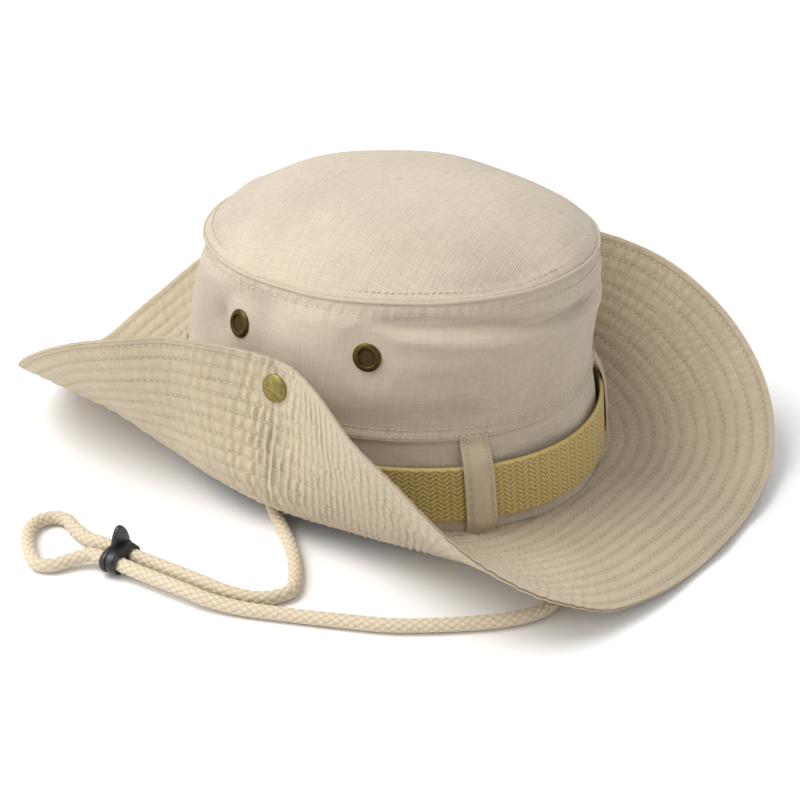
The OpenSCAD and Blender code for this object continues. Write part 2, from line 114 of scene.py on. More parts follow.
class BrimSizes(bpy.types.PropertyGroup):
    """How the brim is quilted."""

    row_pitch: bpy.props.FloatProperty(
        name="Row pitch", description="Distance between rows of stitching, mm", default=6.4, min=4, max=10)
    first_row: bpy.props.FloatProperty(
        name="First row", description="Distance of the first row from the edge, mm", default=3.4, min=2, max=6)
    wrinkle: bpy.props.FloatProperty(
        name="Wrinkle depth", description="Depth of the wrinkles across the front of each side, mm",
        default=0.85, min=0, max=3)
    wrinkle_pitch: bpy.props.FloatProperty(
        name="Wrinkle pitch", description="Distance between those wrinkles, mm", default=4.1, min=3, max=12)
    pucker: bpy.props.FloatProperty(
        name="Pucker depth", description="Depth of the fine puckers between rows, mm", default=0.42, min=0, max=1)
    wave: bpy.props.FloatProperty(
        name="Wave", description="Height of the slow waves of the edge, mm", default=1.6, min=0, max=4)


class CrownSizes(bpy.types.PropertyGroup):
    """How the crown's cloth lies."""

    slack: bpy.props.FloatProperty(
        name="Slack", description="Height of the slow folds in the side panel, mm", default=1.0, min=0, max=3)
    fold: bpy.props.FloatProperty(
        name="Fold", description="Depth of the fold below the top seam, mm", default=3.8, min=0, max=4)


class Finishes(bpy.types.PropertyGroup):
    """Colours as they are dyed or plated."""

    cloth: bpy.props.StringProperty(name="Cloth", description="Colour of the crown cloth", default="#c0b39f")
    brim: bpy.props.StringProperty(name="Brim", description="Colour of the brim cloth", default="#c1b197")
    webbing: bpy.props.StringProperty(name="Webbing", description="Colour of the webbing", default="#c6ad69")
    brass: bpy.props.StringProperty(name="Brass", description="Colour of the antique brass", default="#94854f")
    cord: bpy.props.StringProperty(name="Cord", description="Colour of the cotton cord", default="#d9c9ae")
    toggle: bpy.props.StringProperty(name="Toggle", description="Colour of the toggle", default="#1d1d20")


# ---- Small helpers ----


def smooth(a, b, x):
    """0 below a, 1 above b, and 3x^2 - 2x^3 between."""
    u = np.clip((x - a) / (b - a), 0, 1)
    return u * u * (3 - 2 * u)


def cosd(t):
    return np.cos(np.radians(t))


def sind(t):
    return np.sin(np.radians(t))


def unit(v):
    return v / np.maximum(np.linalg.norm(v, axis=-1, keepdims=True), 1e-9)


def grid(first, second):
    """Every pair of two lists of values, as two tables with a row for each of the first."""
    return np.meshgrid(first, second, indexing="ij")


def circle(count):
    """That many angles evenly round a circle, in radians."""
    return np.linspace(0, 2 * math.pi, count, endpoint=False)


def stations(count):
    """The same, in degrees, for the stations of a ring round the crown."""
    return np.linspace(0, 360, count, endpoint=False)


def lengths(line):
    """How far along a line of points each of them lies."""
    return np.concatenate([[0], np.cumsum(np.linalg.norm(np.diff(line, axis=0), axis=1))])


def waves(u, v, seed, count, pitch):
    """The sum of count sine waves of seeded direction and phase, about a pitch long. Its spread is about 1."""
    rng = np.random.default_rng(seed)
    total = 0
    for _ in range(count):
        turn = rng.uniform(0, 2 * math.pi)
        long = pitch * rng.uniform(0.7, 1.5)
        total = total + np.sin(
            2 * math.pi * (math.cos(turn) * u + math.sin(turn) * v) / long + rng.uniform(0, 6.28))
    return total * math.sqrt(2 / count)


def soft(p, seed, count, pitch):
    """The same, of a point in space, so that it closes on itself round a ring."""
    rng = np.random.default_rng(seed)
    total = 0
    for _ in range(count):
        way = unit(rng.normal(size=3))
        long = pitch * rng.uniform(0.7, 1.5)
        total = total + np.sin(2 * math.pi * (p @ way) / long + rng.uniform(0, 6.28))
    return total * math.sqrt(2 / count)


def grid_faces(rows, columns, wrap_rows=False, wrap_columns=False):
    """The four-sided faces of a grid of points numbered row by row, with its ends joined where it wraps."""
    i = np.arange(rows if wrap_rows else rows - 1)
    j = np.arange(columns if wrap_columns else columns - 1)
    i, j = grid(i, j)
    down, right = (i + 1) % rows, (j + 1) % columns
    return np.stack(
        [i * columns + j, i * columns + right, down * columns + right, down * columns + j], axis=-1).reshape(-1, 4)


def new_piece(name, points, faces, finish, uv=None, valley=None, ends=(), lap=0.0):
    """A mesh object at the origin from points in millimetres. uv is millimetres along and across the cloth,
    valley is the painted shade at each point, from 0 to 1, more where it lies deep in its relief, and lap
    is the length round a ring."""
    points = np.asarray(points, dtype=float).reshape(-1, 3) / 1000
    mesh = bpy.data.meshes.new(name)
    faces = [np.asarray(f) for f in (faces if isinstance(faces, list) else [faces])]
    loops = np.concatenate([f.reshape(-1) for f in faces] + [np.asarray(e) for e in ends]).astype(np.int32)
    sizes = np.concatenate([np.full(len(f), f.shape[1]) for f in faces] + [[len(e)] for e in ends])
    mesh.vertices.add(len(points))
    mesh.vertices.foreach_set("co", points.reshape(-1))
    mesh.loops.add(len(loops))
    mesh.loops.foreach_set("vertex_index", loops)
    mesh.polygons.add(len(sizes))
    mesh.polygons.foreach_set("loop_start", np.concatenate([[0], np.cumsum(sizes)[:-1]]).astype(np.int32))
    mesh.update(calc_edges=True)
    mesh.validate()
    mesh.polygons.foreach_set("use_smooth", np.ones(len(mesh.polygons), dtype=bool))
    if uv is not None:
        layer = mesh.uv_layers.new(name="Cloth")
        flat = np.asarray(uv, dtype=float).reshape(-1, 2)[loops]
        if lap:
            # A ring's last faces run on past its first station.
            u = flat[:, 0].reshape(-1, 4)
            flat[:, 0] = (u + lap * (u < u.max(axis=1, keepdims=True) - lap / 2)).reshape(-1)
        layer.data.foreach_set("uv", (flat / 1000).reshape(-1))
    # The painted shade of each point, kept for the materials to darken their colour with.
    if valley is not None:
        store = mesh.attributes.new("valley", "FLOAT", "POINT")
        store.data.foreach_set("value", np.asarray(valley, dtype=float).reshape(-1))
    piece = bpy.data.objects.new(name, mesh)
    bpy.context.scene.collection.objects.link(piece)
    piece.data.materials.append(bpy.data.materials[finish])
    return piece


def gathered(solids, name, finish, ring=False, capped=True, **more):
    """One mesh of several solids. Each has stations x points x 3, and is a ring, or has a flat end face at
    its first and last station where it is capped."""
    faces, ends, count = [], [], 0
    for sections in solids:
        rows, columns = sections.shape[:2]
        faces.append(grid_faces(rows, columns, wrap_rows=ring, wrap_columns=True) + count)
        if capped and not ring:
            ends += [np.arange(columns)[::-1] + count, (rows - 1) * columns + np.arange(columns) + count]
        count += rows * columns
    points = np.concatenate([sections.reshape(-1, 3) for sections in solids])
    return outward(new_piece(name, points, faces, finish, ends=ends, **more))


def carried(sections, name, finish, ring=False, **more):
    """A closed solid from a loop of points per station."""
    return gathered([sections], name, finish, ring, lap=OVAL_MM[-1] if ring else 0.0, **more)


def belongs(piece, node=None, body="root"):
    """Says what a piece rides on, and the node that it stands for."""
    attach(piece, body)
    if node:
        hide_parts(node)
    return piece


def outward(piece):
    """Turns a closed piece's faces outwards: its volume, from its triangles, is made positive."""
    mesh = piece.data
    mesh.calc_loop_triangles()
    corners = np.empty(len(mesh.loop_triangles) * 3, dtype=np.int32)
    mesh.loop_triangles.foreach_get("vertices", corners)
    places = np.empty(len(mesh.vertices) * 3)
    mesh.vertices.foreach_get("co", places)
    a, b, c = places.reshape(-1, 3)[corners].reshape(-1, 3, 3).transpose(1, 0, 2)
    if np.einsum("ij,ij->i", a, np.cross(b, c)).sum() < 0:
        mesh.flip_normals()
    return piece


def tube(line, radius, sides):
    """Sections of a round tube on a closed line of points: each is a circle square to the line."""
    ahead = unit(np.roll(line, -1, 0) - np.roll(line, 1, 0))
    across = unit(np.cross([0, 0, 1.0], ahead))
    a = circle(sides)
    return line[:, None] + radius[:, None, None] * turned(a, across, -np.cross(ahead, across))


def turned(a, across, up):
    """The directions at angles a from across towards up, for each pair of those."""
    return np.cos(a)[..., None] * across[:, None] + np.sin(a)[..., None] * up[:, None]


SPINDLE = np.array(
    [[-0.5, 0, 0]] + [[x, w * math.cos(a), w * math.sin(a)] for x, w in ((-0.36, 0.42), (0, 0.5), (0.36, 0.42))
                      for a in (0, math.pi / 2, math.pi, 3 * math.pi / 2)] + [[0.5, 0, 0]])
SPINDLE_FACES = np.array(
    [[0, 1 + (j + 1) % 4, 1 + j] for j in range(4)] + [[13, 9 + j, 9 + (j + 1) % 4] for j in range(4)]
    + [f for r in (1, 5) for j in range(4) for f in (
        [r + j, r + (j + 1) % 4, r + 4 + (j + 1) % 4], [r + j, r + 4 + (j + 1) % 4, r + 4 + j])])


def stitches(name, runs, length=2.1, width=0.6, height=0.45):
    """One thread mesh: a small spindle at each place of each run, along ahead, pressed against the cloth."""
    places, ahead, normal = (np.concatenate(parts) for parts in zip(*runs))
    ahead = unit(ahead)
    across = unit(np.cross(normal, ahead))
    up = np.cross(ahead, across)
    p = SPINDLE * [length, width, height]
    points = places[:, None] + p[:, :1] * ahead[:, None] + p[:, 1:2] * across[:, None] + p[:, 2:] * up[:, None]
    faces = SPINDLE_FACES[None] + (np.arange(len(places)) * len(SPINDLE))[:, None, None]
    return outward(new_piece(name, points, faces.reshape(-1, 3), "sewing_thread"))


# ---- Brim surface, as in the part's source ----


def slope(t, side, front, back, sharp):
    """end + (side - end) |cos t|^power, where the end is the front's or the back's slope."""
    ahead = sind(t) > 0
    end = np.where(ahead, front, back)
    return end + (side - end) * np.abs(cosd(t)) ** np.where(ahead, sharp, 2.0)


def brim_slopes(t):
    dip = np.where(sind(t) > 0, 18 * np.abs(sind(t)) ** 10, 0)
    return (slope(t, 37, -10, -28, 8), slope(t, 103, 8, -11, 5), slope(t, 98, -6, 12, 3.6) - dip)


def brim_width(t):
    ahead = sind(t) > 0
    return BRIM_W - np.where(ahead, 8, 4) * sind(t) ** 2 + np.where(ahead, 10, 7) * sind(2 * t) ** 2


def arc(length, a, b, u):
    """A point at share u of an arc whose slope turns evenly from a to b degrees: out and up."""
    turn = np.radians(b - a)
    turn = np.where(np.abs(turn) < 1e-3, 1e-3, turn)
    a = np.radians(a)
    return length / turn * (np.sin(a + turn * u) - np.sin(a)), length / turn * (np.cos(a) - np.cos(a + turn * u))


def brim_point(t, s, h):
    """The brim's point at angle t and share s of its width, h above its middle layer."""
    t, s, h = np.broadcast_arrays(np.asarray(t, float), np.asarray(s, float), np.asarray(h, float))
    seam, curl, edge = brim_slopes(t)
    width = brim_width(t)
    x1, z1 = arc(width * FOLD_SHARE, seam, curl, np.minimum(s / FOLD_SHARE, 1))
    flat = np.maximum(s - FOLD_SHARE, 0) / (1 - FOLD_SHARE)
    x2, z2 = arc(width * (1 - FOLD_SHARE), curl, edge, flat)
    lift = np.where(s < FOLD_SHARE, seam + (curl - seam) * s / FOLD_SHARE, curl + (edge - curl) * flat)
    out = 0.15 + PLY_T * np.abs(sind(seam)) + x1 + x2 - h * sind(lift)
    head = np.arctan2(-sind(t) / BASE_LEN, -cosd(t) / BASE_WID)
    head = head + np.radians(np.where(sind(t) > 0, 11, 3) * sind(2 * t))
    return np.stack([
        -BASE_WID / 2 * cosd(t) + out * np.cos(head),
        CENTRE_Y - BASE_LEN / 2 * sind(t) + out * np.sin(head),
        SEAM_H + z1 + z2 + h * cosd(lift) - SEAM_TILT * sind(t)], axis=-1)


ARC_T = np.linspace(-90, 90, 721)
ARC_MM = lengths(brim_point(ARC_T, 0.6, 0))
ARC_MM = ARC_MM - np.interp(0, ARC_T, ARC_MM)


def side_angle(t):
    """Degrees from the nearer side's middle, positive towards the front."""
    return np.degrees(np.arcsin(np.clip(sind(t), -1, 1)))


def side_arc(t):
    """Millimetres along the brim's middle from the nearer side's middle."""
    return np.interp(side_angle(t), ARC_T, ARC_MM)


def brim_relief(t, s, sizes):
    """How the quilted brim stands off its smooth surface: the shared wave of both faces, how full each face
    is between its rows, from 0 on a row to 1 midway, and the painted shade in the troughs of the wrinkles."""
    place = brim_point(t, s, 0)
    x, y = place[..., 0], place[..., 1]
    a, along = side_angle(t), side_arc(t)
    width = brim_width(t)
    inside = (1 - s) * width
    row = (inside - sizes.first_row) / sizes.row_pitch
    full = np.abs(np.sin(math.pi * row)) ** 0.6
    full = np.where(inside < sizes.first_row, smooth(0, 1.5, sizes.first_row - inside) * 0.8, full)
    calm = 0.35 + 0.65 * (1 - smooth(55, 75, a))
    whole = np.floor(row)
    side = np.where(x < 0, 0.0, 40.0)
    ends = 1 - smooth(80, 89, np.abs(a))
    zone = smooth(-6, -1, a) * (1 - smooth(42, 54, a)) * smooth(0.08, 0.25, s) * (1 - 0.85 * smooth(0.93, 0.98, s))
    zone = zone * np.where(x < 0, 1.0, 0.45)
    wander = 0.13 * waves(along + side, 1.3 * inside, 5, 5, 34)
    ridges = np.abs(np.sin(math.pi * (along / sizes.wrinkle_pitch + wander))) ** 0.7
    strength = 0.8 + 0.22 * waves(along + side, inside, 8, 4, 30)
    wrinkle = sizes.wrinkle * zone * strength * (ridges - 0.6) * (0.6 + 0.4 * full)
    near_seam = np.exp(-(along / 16) ** 2) * smooth(0.05, 0.2, s)
    phase = 1.7 * np.sin(whole * 12.9898 + side) * 3
    fine = np.sin(2 * math.pi * along / 5.3 + phase + 0.9 * waves(along + side, inside, 11, 3, 40))
    fine = fine + 0.6 * np.sin(2 * math.pi * along / 3.7 - 2.3 * phase)
    pucker = sizes.pucker * ends * (1 - 0.6 * zone) * (0.55 + 1.3 * near_seam) * calm * full * fine
    ridge = 1.1 * np.exp(-(along / 1.1) ** 2) - 0.7 * np.exp(-((along - 2.6) / 1.0) ** 2)
    ridge = ridge * smooth(0.03, 0.1, s) * (1 - smooth(0.98, 1.0, s))
    slow = sizes.wave * s * s * waves(x, y, 21, 6, 105) * 0.8 + 0.5 * s * waves(x, y, 22, 6, 38)
    # Painted shade in the troughs of the wrinkles, used only for the colour.
    trough_shade = np.where(zone > 0.02, zone * (1 - ridges) * 0.9, 0)
    return wrinkle + pucker + ridge + slow, full * (0.45 + 0.55 * calm), trough_shade


def brim_face(t, s, top, sizes):
    """A point on the upper face (top is 1) or the lower face (-1) of the quilted brim."""
    wave, full, _ = brim_relief(t, s, sizes)
    point = pressed(brim_point(t, s, wave + top * PLY_T * (0.62 + 0.48 * full)), top)
    point[..., 2] = np.maximum(point[..., 2], FLOOR_GAP)
    return point


SNAP_SHARE = 1 - 12 / BRIM_W
SNAP_SPOT = brim_point(0, SNAP_SHARE, 0)
SNAP_LEAN = math.radians(99.2)
SNAP_OUT = np.array([-math.sin(SNAP_LEAN), 0, -math.cos(SNAP_LEAN)])


def pressed(point, top):
    """Presses the cloth flat between a snap's cap and its socket: a point within the cap's reach goes no
    further out than the cap's seat, or further in than the socket's."""
    for side in (1, -1):
        spot, out = SNAP_SPOT * [side, 1, 1], SNAP_OUT * [side, 1, 1]
        away = point - spot
        height = away @ out
        far = np.linalg.norm(away - height[..., None] * out, axis=-1)
        hold = (1 - smooth(6.6, 11.5, far)) * (np.abs(height) < 12)
        if top < 0:
            move = np.minimum(PLY_T - 0.06 - height, 0)
        else:
            move = np.maximum(-PLY_T + 0.06 - height, 0)
        point = point + (hold * move)[..., None] * out
    return point


# ---- Crown walls, as in the part's source ----


def oval(t, draw, d, lean, z):
    """A point of an oval ring: half the opening's size less draw and d, moved forward by lean."""
    return np.stack(np.broadcast_arrays(
        -(BASE_WID / 2 - draw[0] - d) * cosd(t),
        CENTRE_Y - lean - (BASE_LEN / 2 - draw[1] - d) * sind(t), z), axis=-1)


def mixed(a, b, v):
    return a * (1 - v)[..., None] + b * v[..., None]


def band_point(t, v, d):
    t, v, d = np.broadcast_arrays(np.asarray(t, float), np.asarray(v, float), np.asarray(d, float))
    low = oval(t, (0, 0), d, 0, SEAM_H - SEAM_TILT * sind(t))
    return mixed(low, oval(t, MID_DRAW, d, 0, MID_Z), v)


def side_point(t, v, d):
    t, v, d = np.broadcast_arrays(np.asarray(t, float), np.asarray(v, float), np.asarray(d, float))
    high = oval(t, TOP_DRAW, d, TOP_LEAN, SEAM_H + CROWN_H + TOP_RISE / 2 * sind(t))
    return mixed(oval(t, MID_DRAW, d, 0, MID_Z), high, v)


def dome_point(t, k, h):
    """k is the share of the way from the middle, and the dome falls as a power of it."""
    t, k, h = np.broadcast_arrays(np.asarray(t, float), np.asarray(k, float), np.asarray(h, float))
    return np.stack([
        -k * (BASE_WID / 2 - TOP_DRAW[0]) * cosd(t),
        CENTRE_Y - TOP_LEAN - k * (BASE_LEN / 2 - TOP_DRAW[1]) * sind(t),
        SEAM_H + CROWN_H + k * TOP_RISE / 2 * sind(t) + DOME_H * (1 - k ** DOME_FULLNESS) + h], axis=-1)


OVAL_T = np.linspace(0, 360, 1441)
OVAL_MM = lengths(side_point(OVAL_T, 0.5, 0))


def around(t):
    """Millimetres round the crown from its right side."""
    return np.interp(np.mod(t, 360), OVAL_T, OVAL_MM)


def laps(t, pitch):
    """Radians along the crown for a wave of about that pitch which closes on itself."""
    return around(t) / OVAL_MM[-1] * round(OVAL_MM[-1] / pitch) * 2 * math.pi


VENT_TURNS = (21, 339, 159, 201)
VENT_LEVEL = 0.6


def clear_of_fittings(t, v):
    """0 under the vents and snaps, and 1 away from them, so that the cloth stays flat there."""
    p = side_point(t, v, 0)
    keep = 1
    for turn, level, reach in [(a, VENT_LEVEL, 8) for a in VENT_TURNS] + [(0, 0.29, 6), (180, 0.29, 6)]:
        q = side_point(float(turn), level, 0)
        far = np.linalg.norm(p - q, axis=-1)
        keep = keep * smooth(reach - 2, reach + 9, far)
    return keep


def crown_relief(t, v, sizes):
    """Slow slack, a long fold under the top seam at the front right, dimples by the vents, and puckers
    at both seams."""
    p = side_point(t, v, 0)
    slack = sizes.slack * soft(p * [1, 1, 1.4], 31, 8, 60) * smooth(0, 0.25, v) * smooth(0, 0.2, 1 - v)
    slack = slack + 1.9 * np.sin(math.pi * np.clip(v, 0, 1) ** 2.2) * smooth(12, 45, t) * (1 - smooth(135, 168, t))
    height = 0.86 - 0.16 * smooth(30, 110, t)
    fold = -sizes.fold * np.exp(-((v - height) / 0.05) ** 2) * smooth(14, 40, t) * (1 - smooth(95, 125, t))
    fold = fold + 0.55 * sizes.fold * np.exp(-((v - height + 0.12) / 0.07) ** 2) * smooth(14, 40, t) * (
        1 - smooth(95, 125, t))
    fold = fold - 1.2 * np.exp(-((v - 0.42) / 0.1) ** 2 - ((t - 47) / 16) ** 2)
    back = np.mod(t + 180, 360) - 180
    fold = fold - 1.5 * np.exp(-((v - 0.52) / 0.12) ** 2 - ((back + 31) / 6) ** 2)
    fold = fold - 1.6 * np.exp(-((v - 0.8 + 0.1 * sind(t * 2)) / 0.06) ** 2) * smooth(200, 225, t) * (
        1 - smooth(300, 330, t))
    fine = np.sin(laps(t, 5.1) + 1.2 * soft(p, 33, 3, 50)) + 0.7 * np.sin(laps(t, 8.3))
    pucker = 0.3 * fine * (np.exp(-v / 0.09) + 1.1 * np.exp(-(1 - v) / 0.08)) * smooth(0, 0.04, v) * smooth(
        0, 0.04, 1 - v)
    return (slack + fold) * clear_of_fittings(t, v) + pucker


# ---- Materials ----


def linear(code):
    """The linear colour of an sRGB hex code: ((c + 0.055) / 1.055)^2.4 above 0.04045."""
    parts = [int(code[i:i + 2], 16) / 255 for i in (1, 3, 5)]
    return tuple(c / 12.92 if c <= 0.04045 else ((c + 0.055) / 1.055) ** 2.4 for c in parts) + (1.0,)


def add(tree, kind, settings=None, **links):
    """Adds one node: settings go to its properties or sockets, and links join its sockets to others.
    A socket's number is written as in_0, and its name with _ for a space."""
    made = tree.nodes.new(kind)
    for key, value in (settings or {}).items():
        if isinstance(key, str) and hasattr(made, key):
            setattr(made, key, value)
        else:
            made.inputs[key].default_value = value
    for key, value in links.items():
        socket = made.inputs[int(key[3:])] if key.startswith("in_") else made.inputs[key.replace("_", " ")]
        if isinstance(value, bpy.types.NodeSocket):
            tree.links.new(value, socket)
        else:
            socket.default_value = value
    return made


def new_material(name):
    """The empty node tree of a new material, with the place on the object."""
    made = bpy.data.materials.new(name)
    made.use_nodes = True
    made.node_tree.nodes.clear()
    return made.node_tree, add(made.node_tree, "ShaderNodeTexCoord").outputs["Object"]


def cloth_place(tree):
    """Millimetres along and across the cloth."""
    place = add(tree, "ShaderNodeUVMap", {"uv_map": "Cloth"}).outputs[0]
    return add(tree, "ShaderNodeVectorMath", {"operation": "SCALE", "Scale": 1000.0}, in_0=place).outputs[0]


def noise(tree, place, scale, detail=2.0, **more):
    return add(tree, "ShaderNodeTexNoise", {"Scale": scale, "Detail": detail, **more}, Vector=place).outputs[0]


def calc(tree, operation, a, b=0.0, c=None):
    """One step of arithmetic. c is a number, for the operations that take three values."""
    made = add(tree, "ShaderNodeMath", {"operation": operation}, in_0=a, in_1=b)
    if c is not None:
        made.inputs[2].default_value = c
    return made.outputs[0]


def add_valley_shade(tree, level, share):
    """The level, less that share of it where the relief is deep: painted shade, read from the valley attribute."""
    shade_depth = add(tree, "ShaderNodeAttribute", {"attribute_name": "valley"}).outputs["Fac"]
    return calc(tree, "SUBTRACT", level, calc(tree, "MULTIPLY", shade_depth, share))


def surfaced(tree, colour, height, distance, roughness, strength=1.0, **settings):
    """The surface shader with its bump, joined to the output."""
    bump = add(tree, "ShaderNodeBump", {"Strength": strength, "Distance": distance}, Height=height)
    surface = add(tree, "ShaderNodeBsdfPrincipled", settings, Base_Color=colour, Roughness=roughness,
                  Normal=bump.outputs["Normal"])
    add(tree, "ShaderNodeOutputMaterial", Surface=surface.outputs["BSDF"])


def finished(tree, code, level, height, distance, roughness, tint=1.0, **settings):
    """The same, with the colour of the code times the level."""
    colour = [share * tint for share in linear(code)[:3]]
    shaded = add(tree, "ShaderNodeVectorMath", {"operation": "SCALE"}, in_0=colour, Scale=level).outputs[0]
    surfaced(tree, shaded, height, distance, roughness, **settings)


def woven(name, code, pitch, grid_mm=0.0, tint=1.0, fleck=0.16, valley=0.5):
    """Matt cotton: threads cross at the given pitch in mm, drawn as two sets of waves, with slubs and
    uneven dye. grid_mm is the pitch of stronger ripstop threads, and 0 leaves them out."""
    tree, spot = new_material(name)

    def step(operation, *values):
        return calc(tree, operation, *values)

    apart = add(tree, "ShaderNodeSeparateXYZ", in_0=cloth_place(tree))
    x, y = apart.outputs[0], apart.outputs[1]
    warp, weft = (step("SINE", step("MULTIPLY", axis, 2 * math.pi / pitch)) for axis in (x, y))
    cross = step("MULTIPLY", warp, weft)
    threads = step("ADD", cross, step("MULTIPLY", weft, 0.35))
    # A slub is a thick stretch of one thread, so each set of them is a noise drawn out along its thread.
    long_x = add(tree, "ShaderNodeCombineXYZ", in_0=step("MULTIPLY", x, 0.12), in_1=y).outputs[0]
    long_y = add(tree, "ShaderNodeCombineXYZ", in_0=x, in_1=step("MULTIPLY", y, 0.12)).outputs[0]
    slubs = step("ADD", noise(tree, long_x, 0.9, 3.0), noise(tree, long_y, 0.9, 3.0))
    level = step("MULTIPLY_ADD", cross, fleck * 0.5, 1.0)
    level = step("ADD", level, step("MULTIPLY_ADD", slubs, 0.24, -0.24))
    level = step("ADD", level, step("MULTIPLY_ADD", noise(tree, spot, 34.0, 4.0), 0.2, -0.1))
    # Painted shade: the colour is darker where the relief is deep, by the share valley.
    level = add_valley_shade(tree, level, valley)
    height = step("ADD", step("MULTIPLY", threads, 0.3), step("MULTIPLY", slubs, 1.2))
    if grid_mm:
        across, along = (step("LESS_THAN", step("PINGPONG", axis, grid_mm / 2), 0.3) for axis in (x, y))
        lines = step("MAXIMUM", across, along)
        level = step("ADD", level, step("MULTIPLY", lines, 0.055))
        height = step("ADD", height, step("MULTIPLY", lines, 0.9))
    finished(tree, code, level, height, 0.00022, 0.9, tint, **{
        "Sheen Weight": 0.25, "Sheen Roughness": 0.5, "Specular IOR Level": 0.2})


def brass(name, hollow, high):
    """Antique brass: tumbled and darkened, so the high places are worn bright and the hollows brown."""
    tree, spot = new_material(name)
    worn = noise(tree, spot, 420.0, 5.0, Roughness=0.65)
    edge = add(tree, "ShaderNodeNewGeometry").outputs["Pointiness"]
    ramp = add(tree, "ShaderNodeValToRGB", in_0=calc(
        tree, "ADD", worn, calc(tree, "MULTIPLY_ADD", edge, 2.4, -1.2)))
    for element, position, code in zip(ramp.color_ramp.elements, (0.33, 0.62), (hollow, high)):
        element.position, element.color = position, linear(code)
    surfaced(tree, ramp.outputs[0], noise(tree, spot, 2600.0), 0.00006,
             calc(tree, "MULTIPLY_ADD", worn, -0.2, 0.56), strength=0.35, Metallic=1.0)


def speckled(name, code, grain, gain, base, distance, roughness, cloth=False, patch=None, shade_depth=0.0, **settings):
    """An even finish: grain is the scale and detail of one fine noise, which gives the bumps and, times gain
    and plus base, the level of the colour. patch is a broader noise for the colour instead, cloth lays the
    noise along the cloth, and deep is the share of painted shade where the relief is deep."""
    tree, spot = new_material(name)
    place = cloth_place(tree) if cloth else spot
    height = noise(tree, place, *grain)
    level = calc(tree, "MULTIPLY_ADD", noise(tree, place, *patch) if patch else height, gain, base)
    # Painted shade where the relief is deep.
    if shade_depth:
        level = add_valley_shade(tree, level, shade_depth)
    finished(tree, code, level, height, distance, roughness, **settings)


def make_materials(colours):
    """Every finish of the hat. Threads are drawn at about 0.9 mm so that they show."""
    # Ripstop cotton, dyed sand: matt, with a faint square grid of stronger threads every 5.5 mm.
    woven("ripstop_cotton", colours.cloth, 0.9, grid_mm=5.5, fleck=0.04)
    # Plain cotton twill for the quilted brim, and the same for its folded strips and its lining.
    woven("quilted_cotton", colours.brim, 0.9, valley=0.34, fleck=0.14)
    woven("folded_cotton", colours.brim, 0.8, tint=1.02)
    woven("lining_cotton", colours.brim, 0.8, tint=0.92)
    # Polypropylene webbing: filament yarns with a soft gloss along the chevrons, and painted shade between them.
    speckled("chevron_webbing", colours.webbing, (2.2, 3.0), 0.35, 0.92, 0.0003, 0.55, cloth=True, shade_depth=0.75,
             **{"Sheen Weight": 0.2, "Specular IOR Level": 0.4})
    # The vents' brass is older and darker than the snaps'.
    brass("tumbled_brass", "#6b6038", colours.brass)
    brass("aged_brass", "#17110a", "#5a4b26")
    # Blackened brass wire of the vent screens, before a near-black disc of painted shade.
    speckled("dark_wire", "#6d5c3a", (900.0, 3.0), 0.8, 0.6, 0.00005, 0.45, Metallic=0.8)
    # Painted shade: the disc behind each screen stands for the dark inside of the crown.
    speckled("vent_lining", "#1d1710", (700.0,), 0.8, 0.6, 0.0001, 0.95)
    # Cotton sewing thread and cotton braid: soft, pale and hairy; the braid has painted shade between its yarns.
    for name, code, shade_depth in (("sewing_thread", "#cabca0", 0.0), ("cotton_braid", colours.cord, 0.38)):
        speckled(name, code, (1500.0, 3.0), 0.3, 0.87, 0.0002, 0.9, shade_depth=shade_depth, **{"Sheen Weight": 0.3})
    # Moulded nylon, black: an even satin gloss with fine spark-eroded grain.
    speckled("moulded_nylon", colours.toggle, (2200.0,), 0.5, 0.75, 0.00004, 0.36, patch=(160.0,),
             **{"Specular IOR Level": 0.5})
    # A smooth matt painted board.
    speckled("studio_floor", "#f7f7f7", (30.0,), 0.01, 0.995, 0.00001, 0.9)


# ---- Cord ----

CORD_ROUTE = np.array([
    (-73, 12, 17), (-73.6, 11.3, 11), (-77.5, 7.8, 5.4), (-83, 1, CORD_LIE),
    (-103, -22, CORD_LIE), (-123, -36.5, CORD_LIE), (-133, -35, CORD_LIE),
    (-140, -27, 3.5), (-144, -15, 4.8),
    (-145, -3, CORD_SLOT), (-145, 22, CORD_SLOT), (-145, 47, CORD_SLOT),
    (-144.2, 56.5, 4.5), (-140, 68, 3.2), (-136, 77, CORD_LIE), (-138.5, 84, CORD_LIE),
    (-146, 86.5, CORD_LIE), (-155, 83, CORD_LIE), (-164.5, 74, CORD_LIE), (-170, 65, CORD_LIE),
    (-167.5, 58.5, 3.2), (-161.5, 54.5, 3.8), (-156.2, 50, 5),
    (-154, 44, CORD_SLOT), (-154, 20, CORD_SLOT), (-154, -3, CORD_SLOT),
    (-152.5, -16, 4.5), (-147, -33, CORD_LIE), (-133, -67, CORD_LIE), (-120, -93, CORD_LIE),
    (-94, -124, CORD_LIE), (-74, -134, CORD_LIE), (-61, -124, CORD_LIE), (-58, -104, CORD_LIE),
    (-58, -76, CORD_LIE), (-28, -38, CORD_LIE), (30, -18, CORD_LIE),
    (69, 6.5, 4.8), (72.4, 10.7, 10.5), (73, 12, 17)])
CORD_ROUTE[:, 0] += 0.1 * np.clip(CORD_ROUTE[:, 0] / 73, -1, 1)


